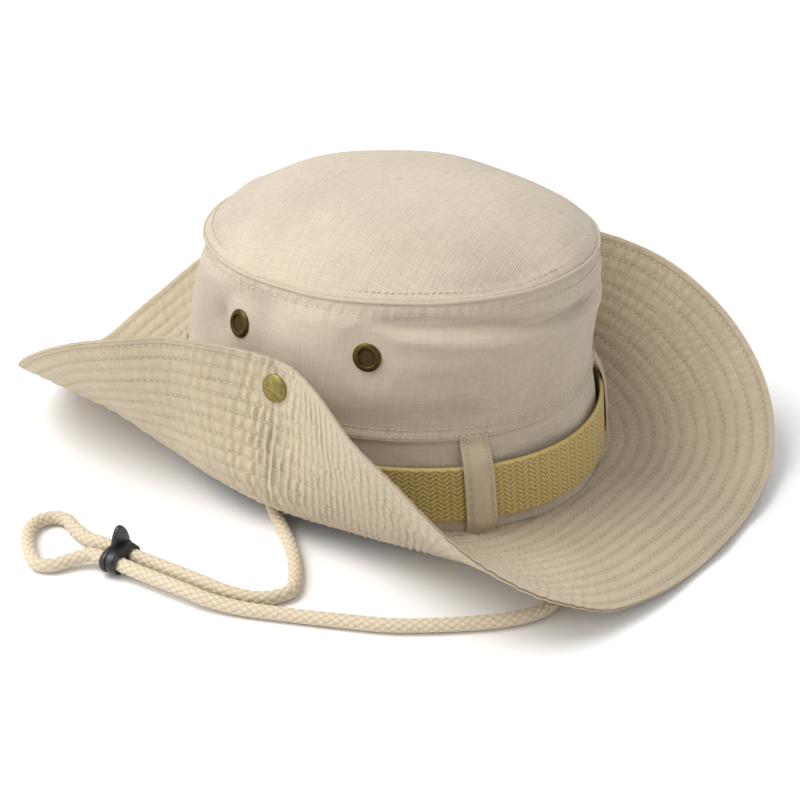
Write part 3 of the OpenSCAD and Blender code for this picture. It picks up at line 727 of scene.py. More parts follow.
def cord_line(step):
    """A smooth curve through the route, evenly spaced: each stretch is the cubic through its ends whose
    directions come from its neighbours."""
    p = np.concatenate([CORD_ROUTE[:1], CORD_ROUTE, CORD_ROUTE[-1:]])
    u = np.linspace(0, 1, 24, endpoint=False)[:, None, None]
    a, b, c, d = p[:-3], p[1:-2], p[2:-1], p[3:]
    line = 0.5 * (2 * b + (c - a) * u + (2 * a - 5 * b + 4 * c - d) * u ** 2 + (3 * b - a - 3 * c + d) * u ** 3)
    line = np.concatenate([line.transpose(1, 0, 2).reshape(-1, 3), CORD_ROUTE[-1:]])
    line[:, 2] = np.maximum(line[:, 2], CORD_LIE)
    far = lengths(line)
    even = np.linspace(0, far[-1], int(far[-1] / step) + 1)
    return np.stack([np.interp(even, far, line[:, i]) for i in range(3)], axis=-1), far[-1]


class HAT_OT_camera(bpy.types.Operator):
    """Camera, floor and soft light"""

    bl_idname = "boonie.stage"
    bl_label = "Stage"

    def execute(self, context):
        turn, lift, far = math.radians(-55.83), math.radians(29.69), 1.3
        target = Vector((0.0, -0.0075, 0.0266))
        towards = Vector((math.sin(turn) * math.cos(lift), -math.cos(turn) * math.cos(lift), math.sin(lift)))
        data = bpy.data.cameras.new("camera")
        data.lens, data.sensor_width = 128.7, 36
        camera = bpy.data.objects.new("camera", data)
        camera.location = target + far * towards
        camera.rotation_euler = (-towards).to_track_quat("-Z", "Y").to_euler()
        context.scene.collection.objects.link(camera)
        context.scene.camera = camera
        edge = np.linspace(-3, 3, 9) * 1000
        x, y = grid(edge, edge)
        faces_up = grid_faces(9, 9)[:, ::-1]
        new_piece("floor", np.stack([x, y, np.full_like(x, -0.4)], -1), faces_up, "studio_floor",
                           uv=np.stack([x, y], -1))
        right = Vector((math.cos(turn), math.sin(turn), 0))
        for name, place, size, power in (
                ("key", target + 1.65 * Vector((0, 0, 1)) - 1.0 * right + 0.1 * towards, 1.3, 31),
                ("fill", target + 0.9 * towards - 1.6 * right + Vector((0, 0, 0.3)), 1.4, 7)):
            data = bpy.data.lights.new(name, "AREA")
            data.size, data.energy = size, power
            light = bpy.data.objects.new(name, data)
            light.location = place
            light.rotation_euler = (target - place).to_track_quat("-Z", "Y").to_euler()
            context.scene.collection.objects.link(light)
        world = bpy.data.worlds.new("studio")
        world.use_nodes = True
        world.node_tree.nodes["Background"].inputs[0].default_value = (1, 1, 1, 1)
        world.node_tree.nodes["Background"].inputs[1].default_value = 0.72
        context.scene.world = world
        context.scene.view_settings.view_transform = "Standard"
        return {"FINISHED"}


class HAT_OT_cord(bpy.types.Operator):
    """Braided chin cord and its toggle"""

    bl_idname = "boonie.cord"
    bl_label = "Chin cord"

    def execute(self, context):
        line, long = cord_line(0.5)
        sides = 40
        n = len(line)
        far = np.linspace(0, long, n)[:, None]
        a = np.arange(sides)[None] / sides
        # Diamond braid: six yarns turn each way once in 26 mm. Where they cross, they take turns on top.
        p, q = 6 * (a + far / 26), 6 * (a - far / 26)
        over = (np.floor(p) + np.floor(q)) % 2 < 0.5
        wide = np.where(over, p, q) % 1
        tall = np.where(over, q, p) % 1
        bulge = (np.sin(math.pi * wide) ** 0.55) * (0.45 + 0.55 * np.sin(math.pi * tall) ** 0.7)
        loose = 1 + 0.02 * np.sin(far / 9.0)
        radius = (CORD_D / 2 * 0.85 + 0.55 * bulge) * loose
        ahead = unit(np.gradient(line, axis=0))
        across = unit(np.cross([0, 0, 1.0], ahead))
        sections = line[:, None] + radius[..., None] * turned(2 * math.pi * a[0], across, -np.cross(ahead, across))
        uv = np.stack(np.broadcast_arrays(far, a * 17), -1)
        # Painted shade between the yarns, where they bulge least.
        cord = carried(sections, "cord_braid", "cotton_braid", uv=uv, valley=1 - bulge)
        belongs(cord, "chin_cord")
        toggle = belongs(self.toggle(), "cord_toggle", body="toggle")
        return {"FINISHED"}

    def toggle(self):
        """A bean-shaped body with a flange at the loop's end, from which a leaf-shaped thumb tab rises. Each
        is an oval with a waist, carried along the cord, and both bores have raised rims."""
        low, high = box_mm("cord_toggle")
        mid_x, mid_z = (low[0] + high[0]) / 2, low[2] + 5.9
        y0, y1 = low[1], high[1]
        a = circle(72)
        c, s = np.cos(a), np.sin(a)

        def bean(profile, wide, tall, waist, cup=0.0):
            """Rings of the oval at each distance and share of its size in the profile."""
            rings = []
            for y, k in profile:
                x = wide * k * np.sign(c) * np.abs(c) ** 0.8
                z = tall * k * np.sign(s) * np.abs(s) ** 0.9 * (1 - waist * np.exp(-(x / (0.35 * wide)) ** 2))
                rings.append(np.stack([mid_x + x, y - cup * (x / wide) ** 2, mid_z + z], -1))
            return np.stack(rings)

        def leaf(profile):
            """The thumb tab: a leaf from inside the body to the flange's top, leaning away from it."""
            foot, top, half = mid_z - 2, high[2] - 0.2, 5.3
            rings = []
            for y, k in profile:
                u = (1 + s) / 2
                x = half * k * np.sign(c) * np.abs(c) ** 0.9 * (1.3 - 0.6 * u)
                z = foot + (top - foot) * (0.5 + (u - 0.5) * (0.55 + 0.45 * k))
                rings.append(np.stack([high[0] - 6.8 + x, y + 0.4 * (u - 0.5), z], -1))
            return np.stack(rings)

        main = [(y0, 0.3), (y0, 0.72), (y0 + 0.25, 0.84), (y0 + 0.9, 0.94), (y0 + 2, 0.99), (y0 + 3.5, 1.0),
                (y1 - 2.2, 1.0), (y1 - 2.2, 0.3)]
        flange = [(y1 - 3.0, 0.3), (y1 - 3.0, 0.9), (y1 - 2.8, 0.96), (y1 - 2.2, 1.0), (y1 - 1.2, 1.0),
                  (y1 - 0.5, 0.96), (y1 - 0.2, 0.88), (y1 - 0.2, 0.3)]
        tab = [(y1 - 2.9, 0.3), (y1 - 2.9, 0.88), (y1 - 2.6, 0.96), (y1 - 1.9, 1.0), (y1 - 1.2, 1.0),
               (y1 - 0.7, 0.95), (y1 - 0.45, 0.86), (y1 - 0.45, 0.3)]
        piece = gathered([bean(main, 9.5, 5.4, 0.16), bean(flange, 10.4, 5.8, 0.06, 0.8), leaf(tab)],
                         "toggle_body", "moulded_nylon")
        b = circle(48)
        for x in STRANDS:
            cutter = np.stack([
                np.stack([x + BORE_R * np.cos(b), np.full_like(b, y), CORD_SLOT + BORE_R * np.sin(b)], -1)
                for y in np.linspace(y0 - 3, y1 + 3, 3)])
            tool = carried(cutter, "bore_cutter", "moulded_nylon")
            cut = piece.modifiers.new("bore", "BOOLEAN")
            cut.operation, cut.object, cut.solver = "DIFFERENCE", tool, "EXACT"
            cut.use_self = True
            bpy.context.view_layer.update()
            shaped = bpy.data.meshes.new_from_object(piece.evaluated_get(bpy.context.evaluated_depsgraph_get()))
            piece.modifiers.clear()
            piece.data = shaped
            bpy.data.objects.remove(tool)
        rims = []
        for x in STRANDS:
            for y in (y0 + 0.2, y1 - 0.4):
                bb, cc = grid(b, circle(14))
                r = 4.1 + 0.6 * np.cos(cc)
                rims.append(np.stack([x + r * np.cos(bb), y + 0.6 * np.sin(cc), CORD_SLOT + r * np.sin(bb)], -1))
        rim = gathered(rims, "toggle_rims", "moulded_nylon", ring=True)
        with bpy.context.temp_override(active_object=piece, selected_editable_objects=[piece, rim], object=piece):
            bpy.ops.object.join()
        piece.name = "toggle_moulding"
        for face in piece.data.polygons:
            face.use_smooth = True
        piece.data.set_sharp_from_angle(angle=math.radians(40))
        return piece


# ---- Brim ----


class HAT_OT_brim(bpy.types.Operator):
    """Quilted brim, in a right and a left half"""

    bl_idname = "boonie.brim"
    bl_label = "Brim"

    def execute(self, context):
        sizes = context.scene.boonie_brim
        for name, first, sign in (("right", -90, -1), ("left", 90, 1)):
            brim = self.half(name, first, sizes)
            pieces = [brim, self.rows(name, first, sizes, 1), self.rows(name, first, sizes, -1)]
            for piece in pieces:
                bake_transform(piece)
            stand = [f"{name}_flap_upper", f"{name}_flap_lower"]
            stand += ["brim_upper_front", "brim_lower_front"] if name == "right" else [
                "brim_upper_back", "brim_lower_back"]
            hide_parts(*stand)
            min(self.area(first), 0.0999)
        return {"FINISHED"}

    def area(self, first):
        """Flat area of one ply of half the brim, in square metres, from the middle layer's patches."""
        t, s = grid(np.linspace(first, first + 180, 121), np.linspace(0, 1, 41))
        p = brim_point(t, s, 0)
        side = np.linalg.norm(np.cross(p[1:, :-1] - p[:-1, :-1], p[:-1, 1:] - p[:-1, :-1]), axis=-1)
        return float(side.sum() / 1e6)

    def half(self, name, first, sizes):
        """The section is a loop: out along the upper face, round the edge with its groove between the
        two plies, back along the lower face and up the seam."""
        even = np.linspace(-90, 90, 1801)
        close = 1 + 1.4 * smooth(-12, -4, even) * (1 - smooth(56, 64, even))
        share = np.concatenate([[0], np.cumsum((close[1:] + close[:-1]) / 2)])
        a = np.interp(np.linspace(0, share[-1], 620), share, even)
        a = np.concatenate([[-180 - a[1]], a, [180 - a[-2]]])
        t = a if first < 0 else 180 - a[::-1]
        s = np.concatenate([[-0.012], np.linspace(0, 0.992, 71)])
        tt, ss = grid(t, s)
        upper = brim_face(tt, ss, 1, sizes)
        lower = brim_face(tt, ss, -1, sizes)
        edge = [(0.9, 0.15), (0.72, 0.6), (0.42, 0.75), (0.16, 0.45), (0.0, -0.9), (-0.16, 0.45), (-0.42, 0.75),
                (-0.72, 0.6), (-0.9, 0.15)]
        lip = []
        wave = brim_relief(t, np.full_like(t, 0.995), sizes)[0]
        for h, out in edge:
            reach = 0.992 + (out + 0.3) / brim_width(t)
            point = brim_point(t, reach, wave + h * 1.15)
            point[..., 2] = np.maximum(point[..., 2], FLOOR_GAP)
            lip.append(point)
        loop = np.concatenate([upper, np.stack(lip, 1), lower[:, ::-1]], axis=1)
        # Painted shade: darker along the stitched rows, in the wrinkles' troughs and in the groove between the
        # plies.
        _, full, trough_shade = brim_relief(tt, ss, sizes)
        shade_depth = np.maximum(np.exp(-(full / 0.45) ** 2), trough_shade)
        groove = np.tile([0, 0, 0, 0.5, 1, 0.5, 0, 0, 0], (len(t), 1))
        valley = np.concatenate([shade_depth, groove, shade_depth[:, ::-1]], axis=1)
        along = side_arc(tt) * (0.75 + 0.4 * ss)
        inside = (1 - ss) * brim_width(tt)
        flat = np.stack([along, inside], -1)
        rim = np.stack(grid(side_arc(t) * 1.15, np.linspace(0, -4, len(edge))), -1)
        uv = np.concatenate([flat, rim, flat[:, ::-1] + [0, 200]], axis=1)
        du = loop[2:] - loop[:-2]
        dv = (np.roll(loop, -1, 1) - np.roll(loop, 1, 1))[1:-1]
        normals = unit(np.cross(du, dv))
        loop, uv, valley, t = loop[1:-1], uv[1:-1], valley[1:-1], t[1:-1]
        mid = len(loop) // 2
        lifted = brim_point(t[mid], 0.5, 1.0) - brim_point(t[mid], 0.5, -1.0)
        if np.dot(normals[mid, 36], lifted) < 0:
            normals = -normals
        piece = carried(loop, "brim_" + name, "quilted_cotton", uv=uv, valley=valley)
        piece.data.normals_split_custom_set_from_vertices(normals.reshape(-1, 3))
        return piece

    def rows(self, name, first, sizes, top):
        """Thread of the rows on one face: a stitch every 3 mm along each row."""
        runs = []
        for row in range(12):
            inside = sizes.first_row + row * sizes.row_pitch
            t = np.linspace(first, first + 180, 721)
            s = 1 - inside / brim_width(t)
            line = brim_point(t, s, 0)
            far = lengths(line)
            at = np.interp(np.arange(1.5, far[-1] - 1, 3.0), far, t)
            s = 1 - inside / brim_width(at)
            at, s = at[s > 0.03], s[s > 0.03]
            if len(at) == 0:
                continue
            here = brim_face(at, s, top, sizes)
            after = brim_face(at + 0.35, 1 - inside / brim_width(at + 0.35), top, sizes)
            before = brim_face(at - 0.35, 1 - inside / brim_width(at - 0.35), top, sizes)
            up = top * unit(brim_point(at, s, 1.0) - brim_point(at, s, -1.0))
            runs.append((here + 0.12 * up, after - before, up))
        face = "upper" if top > 0 else "lower"
        return stitches(f"brim_thread_{name}_{face}", runs, length=2.3, width=0.62, height=0.5)


# ---- Crown ----


def seam_stitches(point, lift, step=2.9):
    """A run of topstitching along point(t), on the outside of the crown: places, directions and normals."""
    far = lengths(point(OVAL_T))
    at = np.interp(np.arange(step / 2, far[-1], step), far, OVAL_T)
    here = point(at)
    ahead = point(at + 0.25) - point(at - 0.25)
    away = here - np.array([0, CENTRE_Y - 2, 0])
    away[..., 2] = 0
    ahead = unit(ahead)
    away = unit(away - (away * ahead).sum(-1, keepdims=True) * ahead)
    return here + lift * away, ahead, away


class HAT_OT_crown(bpy.types.Operator):
    """Crown panels, their seams and the sweatband"""

    bl_idname = "boonie.crown"
    bl_label = "Crown"

    def execute(self, context):
        sizes = context.scene.boonie_crown
        self.side(sizes)
        self.top()
        self.band()
        self.seams(sizes)
        self.sweat()
        return {"FINISHED"}

    def declare(self, piece, node, width, length, material="crown_cloth", area=None):
        belongs(piece, node)

    def side(self, sizes):
        """The side panel: the wall between the panel seam and the top seam, with its relief, doubled at
        the seam allowances."""
        t = stations(560)
        v = np.linspace(-0.012, 1.0, 92)
        tt, vv = grid(t, v)
        relief = crown_relief(tt, vv, sizes)
        hem = 0.75 * (1 - smooth(0.035, 0.06, vv)) + 0.35 * smooth(0.93, 0.96, vv)
        outer = side_point(tt, vv, -relief - hem)
        tv, vw = grid(t, np.linspace(1.0, -0.012, 12))
        inner = side_point(tv, vw, CLOTH_T - crown_relief(tv, vw, sizes) * 0.9)
        loop = np.concatenate([outer, inner], axis=1)
        flat = np.stack([around(tt), vv * 58], -1)
        uv = np.concatenate([flat, np.stack([around(tv), vw * 58], -1)], axis=1)
        # Painted shade in the folds of the relief and along the hem's edge, and a little on the inner face.
        shade_depth = np.clip(-relief * 0.12, 0, 0.35) + 0.25 * np.exp(-((vv - 0.047) / 0.012) ** 2)
        valley = np.concatenate([shade_depth, np.full_like(tv, 0.1)], axis=1)
        piece = carried(loop, "crown_side_panel", "ripstop_cotton", ring=True, uv=uv, valley=valley)
        self.declare(piece, "crown_side", 62, 575)

    def top(self):
        """The top panel: a low dome, slack near its seam, with a closed pole."""
        t = stations(300)
        k = np.linspace(1.0, 0.02, 66)
        tt, kk = grid(t, k)
        flat_x, flat_y = -kk * cosd(tt) * 70, -kk * sind(tt) * 93
        near = smooth(0.55, 0.93, kk)
        relief = 0.8 * waves(flat_x, flat_y, 41, 7, 60) * (0.35 + 0.65 * near)
        pucker = 0.28 * np.sin(laps(tt, 6.1) + waves(flat_x, flat_y, 42, 3, 50)) * np.exp(-(1 - kk) / 0.05)
        dip = -0.9 * np.exp(-((kk - 0.93) / 0.03) ** 2)
        back = 2.4 * np.exp(-((kk - 0.9) / 0.08) ** 2) * (
            np.exp(-((tt - 232) / 7) ** 2) + 0.8 * np.exp(-((tt - 268) / 8) ** 2))
        relief = (relief + pucker + dip * 0.5 + back) * smooth(0, 0.05, 1 - kk)
        outer = dome_point(tt, kk, CLOTH_T + relief)
        inner = dome_point(tt, kk, 0.1 + relief * 0.9)[:, ::-1]
        loop = np.concatenate([inner, outer], axis=1)
        poles = np.array([dome_point(0, 0, 0.1 + 0.9 * relief[:, -1].mean()),
                          dome_point(0, 0, CLOTH_T + relief[:, -1].mean())])
        points = np.concatenate([loop.reshape(-1, 3), poles])
        rows, columns = loop.shape[:2]
        faces = grid_faces(rows, columns, wrap_rows=True)
        here = np.arange(rows) * columns
        after = np.roll(here, -1)
        low = np.stack([here, after, np.full(rows, rows * columns)], -1)
        high = np.stack([after + columns - 1, here + columns - 1, np.full(rows, rows * columns + 1)], -1)
        uv = np.concatenate([points[:-2, :2], [[0, CENTRE_Y]] * 2])
        # Painted shade in the hollows of the relief.
        shade_depth = np.clip(-relief * 0.12, 0, 0.3)
        valley = np.concatenate([np.concatenate([shade_depth[:, ::-1], shade_depth], 1).reshape(-1), [0, 0]])
        piece = outward(new_piece("crown_top_panel", points, [faces, low, high], "ripstop_cotton", uv=uv,
                                  valley=valley))
        self.declare(piece, "crown_top", 142, 188, area=0.0205)

    def band(self):
        """The low band panel, a little slack between the webbing and the seams."""
        t = stations(480)
        v = np.linspace(-0.03, 1.0, 44)
        tt, vv = grid(t, v)
        give = 0.12 + 0.5 * sind(tt) ** 2
        relief = give * soft(band_point(tt, vv, 0), 51, 6, 34) * smooth(0, 0.1, vv) * smooth(0, 0.35, 1 - vv)
        relief = relief + 0.22 * np.sin(laps(tt, 5.7)) * np.exp(-vv / 0.12)
        outer = band_point(tt, vv, -relief)
        tb, vb = tt[:, ::9], vv[:, ::9][:, ::-1]
        inner = band_point(tb, vb, CLOTH_T)
        loop = np.concatenate([outer, inner], axis=1)
        uv = np.concatenate([np.stack([around(tt), vv * 44], -1), np.stack([around(tb), vb * 44], -1)], axis=1)
        # Painted shade, darker towards the brim seam at the bottom.
        valley = np.concatenate([0.35 * np.exp(-vv / 0.05), np.zeros_like(tb)], axis=1)
        piece = carried(loop, "crown_band_panel", "ripstop_cotton", ring=True, uv=uv, valley=valley)
        self.declare(piece, "crown_band", 46, 576)

    def seams(self, sizes):
        """A corded welt round the top seam, and topstitching beside each seam."""
        t = stations(520)
        welt = side_point(t, 1.0, -0.3) + np.array([0, 0, 0.7])
        welt[:, 2] += 0.2 * soft(side_point(t, 1.0, 0), 61, 4, 26)
        radius = 0.85 + 0.08 * np.sin(laps(t, 3.1))
        sections = tube(welt, radius, 14)
        uv = np.stack(np.broadcast_arrays(around(t)[:, None], np.linspace(0, 8, 14)[None]), -1)
        piece = carried(sections, "top_seam_welt", "ripstop_cotton", ring=True, uv=uv,
                                valley=np.zeros(sections.shape[:2]))
        belongs(piece)
        runs = [
            seam_stitches(lambda a: side_point(a, v, -crown_relief(a, np.full_like(a, v), sizes) - hem), lift)
            for v, hem, lift in ((0.925, 0, 0.15), (0.022, 0.75, 0.15), (0.075, 0, 0.12))]
        p, a, _ = seam_stitches(lambda a: dome_point(a, 0.965, CLOTH_T + 0.1), 0)
        runs.append((p + [0, 0, 0.25], a, np.cross(a, np.cross([0, 0, 1.0], a))))
        belongs(stitches("crown_thread", runs))

    def sweat(self):
        """The sweatband: a folded strip inside the band, with gentle waves at its free upper edge."""
        t = stations(400)
        low, high = 0.03, 0.03 + SWEAT_W / BAND_H
        v = np.linspace(low, high, 26)
        tt, vv = grid(t, v)
        share = (vv - low) / (high - low)
        ripple = 0.35 * share * soft(band_point(tt, vv, 0), 71, 4, 45)
        d = CLOTH_T + 0.55
        outer = band_point(tt, vv, d + 0.2 + ripple * 0.5 + 0.2 * share)
        puff = 0.35 * np.abs(np.sin(math.pi * share * 3)) ** 0.5
        inner = band_point(tt, vv, d + 1.0 + ripple + puff)[:, ::-1]
        loop = np.concatenate([outer, inner], axis=1)
        flat = np.stack([around(tt), share * SWEAT_W], -1)
        uv = np.concatenate([flat, flat[:, ::-1]], axis=1)
        # Painted shade in the creases between the puffs of the inner face.
        valley = np.concatenate([np.zeros_like(share), (0.3 * np.exp(-(puff / 0.12) ** 2))[:, ::-1]], axis=1)
        piece = carried(loop, "sweatband_strip", "lining_cotton", ring=True, uv=uv, valley=valley)
        self.declare(piece, "sweatband", SWEAT_W, 560, "lining_cloth")


# ---- Webbing and loops ----


def web_off(t, v):
    return 0.4 + WEB_STAND * sind(t) ** 2 * (0.6 + 0.5 * (v - WEB_LOW) / (WEB_HIGH - WEB_LOW))


class HAT_OT_webbing(bpy.types.Operator):
    """Webbing band and its four loops"""

    bl_idname = "boonie.webbing"
    bl_label = "Webbing and loops"

    def execute(self, context):
        self.band()
        for node, t in (("front_right", 54), ("front_left", 126), ("back_left", 234), ("back_right", 306)):
            self.loop("belt_loop_" + node, float(t))
        return {"FINISHED"}

    def band(self):
        """Chevron webbing: yarns 2 mm apart that zigzag along the band and turn every 2.7 mm, between two
        narrow selvages."""
        t = stations(1280)
        share = np.linspace(0, 1, 69)
        tt, ww = grid(t, share)
        wide = ww * WEB_W
        along = around(tt)
        turn = laps(tt, 5.4) / math.pi
        zig = np.abs(turn % 2 - 1) * 2.4
        float_up = np.abs(np.sin(math.pi * (wide + zig) / 2.05)) ** 0.7
        rib = np.abs(np.sin(math.pi * turn)) ** 0.35
        edge = np.minimum(wide, WEB_W - wide)
        plain = 1 - smooth(0.6, 1.0, edge)
        selvage = 0.35 + 0.4 * rib
        lump = (1 - plain) * float_up * (0.35 + 0.65 * rib) + plain * selvage

        def standing(t, w, thick):
            """A point at angle t and share w of the webbing's width, thick off its inner face."""
            v = WEB_LOW + (WEB_HIGH - WEB_LOW) * w
            sway = 0.5 * sind(t) ** 2 * soft(band_point(t, 0.4, 0), 81, 3, 90)
            return band_point(t, v, -(web_off(t, v) + sway + thick))

        outer = standing(tt, ww, WEB_T * (0.72 + 0.36 * lump) * (0.55 + 0.45 * smooth(0, 0.9, edge)))
        tb, wb = grid(t, np.linspace(1, 0, 8))
        inner = standing(tb, wb, 0)
        loop = np.concatenate([outer, inner], axis=1)
        uv = np.concatenate([np.stack([along, wide], -1), np.stack([around(tb), wb * WEB_W], -1)], axis=1)
        # Painted shade between the yarns, less at the selvages, and some on the inner face.
        valley = np.concatenate([(1 - lump) * (1 - 0.6 * plain), np.full_like(tb, 0.3)], axis=1)
        piece = carried(loop, "webbing_weave", "chevron_webbing", ring=True, uv=uv, valley=valley)
        belongs(piece, "webbing_band")

    def loop(self, node, t):
        """A folded strip from its tack at the panel seam, over the webbing and into the brim seam: a
        rounded flat section carried up a smooth path."""
        over = web_off(t, 0.45) + WEB_T
        knots_v = np.array([0.0, 0.05, 0.1, WEB_LOW, 0.3, 0.5, WEB_HIGH - 0.06, WEB_HIGH + 0.06, 0.88, 0.95, 1.03])
        knots_d = np.array([0.4, 0.7, 1.5 + over * 0.3, over + 0.4, over + 0.9, over + 1.1, over + 1.0, over + 0.3,
                            1.4 + over * 0.25, 0.75, 0.9])
        u = np.linspace(0, 1, 90)
        pick = np.linspace(0, 1, len(knots_v))
        v, d = (np.interp(u, pick, k) for k in (knots_v, knots_d))
        for _ in range(10):
            for line in (v, d):
                line[1:-1] = (line[:-2] + 2 * line[1:-1] + line[2:]) / 4
        speed = math.pi / 180 * math.hypot(BASE_WID / 2 * math.sin(math.radians(t)),
                                           BASE_LEN / 2 * math.cos(math.radians(t)))
        across = np.linspace(-1, 1, 27)
        edge = 1 - np.abs(across) ** 10
        row = 1 - 0.45 * np.exp(-((np.abs(across) - 0.68) / 0.09) ** 2)
        half = LOOP_W / 2 / speed
        bow = 0.35 * (1 - across ** 2)
        turn, dd = np.broadcast_arrays(t + half * across, d[:, None] + bow)
        top = band_point(turn, v[:, None], -(dd + LOOP_T * (0.25 + 0.75 * edge * row)))
        loop = np.concatenate([top, band_point(turn, v[:, None], -dd)[:, ::-1]], axis=1)
        far, wide = grid(u * 52, across * LOOP_W / 2)
        uv = np.concatenate([np.stack([wide, far], -1), np.stack([wide[:, ::-1] + 30, far], -1)], axis=1)
        # Painted shade along the two stitched rows.
        valley = np.concatenate([np.broadcast_to(1 - row, far.shape), np.zeros_like(far)], axis=1)
        piece = carried(loop, node + "_strip", "folded_cotton", uv=uv, valley=valley)
        belongs(piece, node)
        runs = []
        ranks, spots = np.arange(len(u)), np.arange(3, 88, 4.6)
        for side in (-0.68, 0.68):
            (va, vb), (da, db) = ([np.interp(k, ranks, line) for k in (spots, spots + 1)] for line in (v, d))
            here, after = (band_point(t + half * side, level, -(lift + 0.19 + LOOP_T * 0.72))
                           for level, lift in ((va, da), (vb, db)))
            n = unit(here[0] * [1, 1, 0] - [0, CENTRE_Y, 0])
            runs.append((here, after - here, np.broadcast_to(n, here.shape)))
        k = np.linspace(-0.8, 0.8, 7)
        for level, lift in ((0.955, 0.75), (0.915, 1.0)):
            here = band_point(t + half * k, level, -(lift + LOOP_T))
            runs.append([here, *(np.broadcast_to(x, here.shape) for x in (here[-1] - here[0], runs[0][2][0]))])
        belongs(stitches(node + "_thread", runs, length=1.9, width=0.5, height=0.4))


# ---- Fittings ----


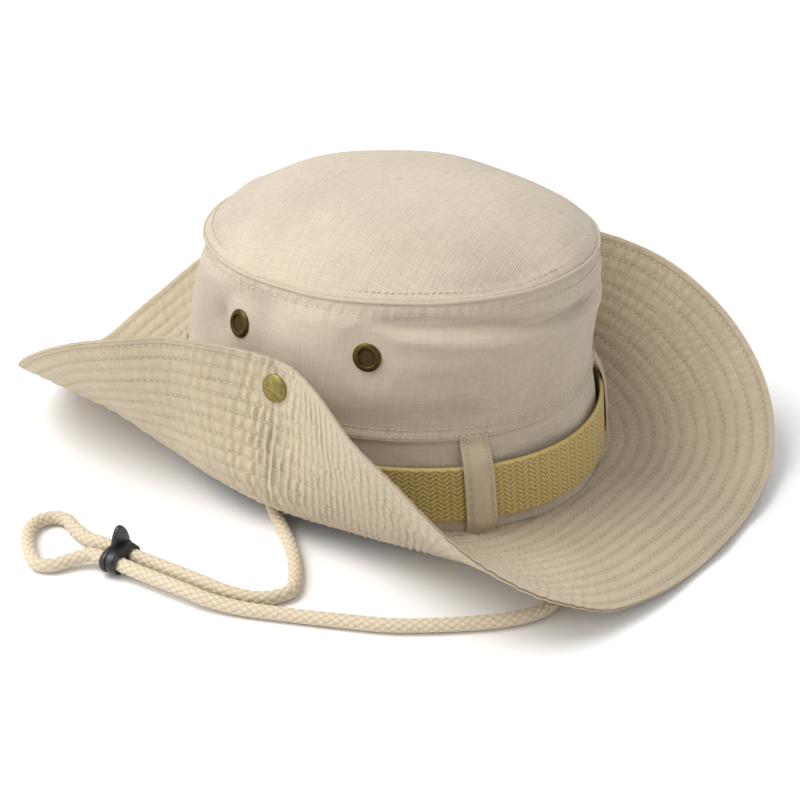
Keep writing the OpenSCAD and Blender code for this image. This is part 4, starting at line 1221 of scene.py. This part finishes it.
class HAT_OT_fittings(bpy.types.Operator):
    """Vent screens, brass fittings and cord tabs"""

    bl_idname = "boonie.fittings"
    bl_label = "Fittings"

    def execute(self, context):
        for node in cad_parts:
            if "snap" in node or node in ("vent_rims", "vent_washers"):
                made = bpy.data.objects[node]
                made.data.materials.clear()
                made.data.materials.append(bpy.data.materials["aged_brass" if "vent" in node else "tumbled_brass"])
        self.screens()
        for node in ("cord_tab_right", "cord_tab_left"):
            self.tab(node)
        return {"FINISHED"}

    def axes(self, t):
        """The place of a vent on the wall, with its two directions in the cloth and its way out."""
        p = side_point(t, VENT_LEVEL, 0)
        along = unit(side_point(t + 1, VENT_LEVEL, 0) - side_point(t - 1, VENT_LEVEL, 0))
        up = unit(side_point(t, VENT_LEVEL + 0.05, 0) - side_point(t, VENT_LEVEL - 0.05, 0))
        out = unit(np.cross(along, up))
        out = out if np.dot(out, p - [0, CENTRE_Y, p[2]]) > 0 else -out
        up = np.cross(out, along)
        return p, along, up, out

    def screens(self):
        """Woven wire in each vent: wires 0.9 mm apart, each a wave that goes over and under the others,
        before a dark disc of painted shade, which stands for the dark inside of the crown."""
        wires, shade_discs = [], []
        for t in VENT_TURNS:
            p, along, up, out = self.axes(t)
            for way, (a, b) in enumerate(((along, up), (up, along))):
                for n in range(-4, 5):
                    off = n * WIRE_PITCH
                    reach = math.sqrt(max(VENT_R ** 2 - off ** 2, 0.2))
                    x = np.linspace(-reach, reach, 26)
                    z = 0.4 + (1 if (n + way) % 2 else -1) * 0.14 * np.cos(math.pi * x / WIRE_PITCH)
                    line = p + x[:, None] * a + off * b + z[:, None] * out
                    tangent = unit(np.gradient(line, axis=0))
                    side = unit(np.cross(tangent, out))
                    wires.append(line[:, None] + 0.16 * turned(circle(5), side, np.cross(side, tangent)))
            # Two near-black discs behind the wires paint the shade of the crown's inside.
            spokes = turned(circle(32), along[None], up[None])
            profile = ((0.1, 0.12), (2.0, 0.12), (VENT_R, 0.1), (3.58, 0.0), (2.0, -0.05), (0.1, -0.05))
            for depth in (0.1, -2.0):
                shade_discs.append(np.concatenate([p + r * spokes + (depth + h) * out for r, h in profile]))
        belongs(gathered(wires, "vent_wire", "dark_wire", capped=False), "vent_screens")
        belongs(gathered(shade_discs, "vent_lining", "vent_lining", ring=True))

    def tab(self, node):
        """A folded cloth tab: a rounded block pinched at its top, over the cord's end."""
        low, high = box_mm(node)
        mid, size = (low + high) / 2, (high - low) / 2
        uu, aa = grid(np.linspace(-1, 1, 36), circle(48))
        c, s = np.cos(aa), np.sin(aa)
        fill = (1 - np.abs(uu) ** 6) ** (1 / 3) * 0.999 + 0.001
        pinch = 1 - 0.45 * smooth(-0.2, 1, uu)
        x = size[0] * 0.96 * np.sign(c) * np.abs(c) ** 0.6 * fill * pinch
        y = size[1] * 0.98 * np.sign(s) * np.abs(s) ** 0.45 * (0.3 + 0.7 * fill)
        ridge = 0.3 * np.sin(uu * 9) * np.exp(-(s / 0.6) ** 2)
        z = size[2] * uu
        loop = np.stack([mid[0] + x + ridge * np.sign(c) * fill, mid[1] + y, mid[2] + z], -1)
        uv = np.stack([y + 8, z], -1)
        # Painted shade at the folded top and bottom ends.
        piece = carried(loop, node + "_fold", "lining_cotton", uv=uv, valley=0.2 * (np.abs(uu) > 0.9))
        belongs(piece, node)


class HAT_OT_finishes(bpy.types.Operator):
    """Cloth, webbing, brass, cord and nylon finishes"""

    bl_idname = "boonie.finishes"
    bl_label = "Finishes"

    def execute(self, context):
        make_materials(context.scene.boonie_finishes)
        return {"FINISHED"}


class HAT_PT_panel(bpy.types.Panel):
    """The hat's sizes and the order of its making"""

    bl_idname = "HAT_PT_panel"
    bl_label = "Boonie hat"
    bl_space_type = "VIEW_3D"
    bl_region_type = "UI"
    bl_category = "Boonie Hat"

    def draw(self, context):
        for group in ("boonie_brim", "boonie_crown", "boonie_finishes"):
            settings = getattr(context.scene, group)
            for key in type(settings).__annotations__:
                self.layout.prop(settings, key)
        for name in ORDER:
            self.layout.operator("boonie." + name)


ORDER = ("finishes", "stage", "cord", "brim", "crown", "webbing", "fittings")
CLASSES = (BrimSizes, CrownSizes, Finishes, HAT_OT_finishes, HAT_OT_camera, HAT_OT_cord, HAT_OT_brim,
           HAT_OT_crown, HAT_OT_webbing, HAT_OT_fittings, HAT_PT_panel)


def register():
    for one in CLASSES:
        bpy.utils.register_class(one)
    bpy.types.Scene.boonie_brim = bpy.props.PointerProperty(type=BrimSizes)
    bpy.types.Scene.boonie_crown = bpy.props.PointerProperty(type=CrownSizes)
    bpy.types.Scene.boonie_finishes = bpy.props.PointerProperty(type=Finishes)


def unregister():
    del bpy.types.Scene.boonie_brim
    del bpy.types.Scene.boonie_crown
    del bpy.types.Scene.boonie_finishes
    for one in reversed(CLASSES):
        bpy.utils.unregister_class(one)


def main():
    register()
    for name in ORDER:
        getattr(bpy.ops.boonie, name)()
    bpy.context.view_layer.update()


if __name__ == "__main__":
    main()
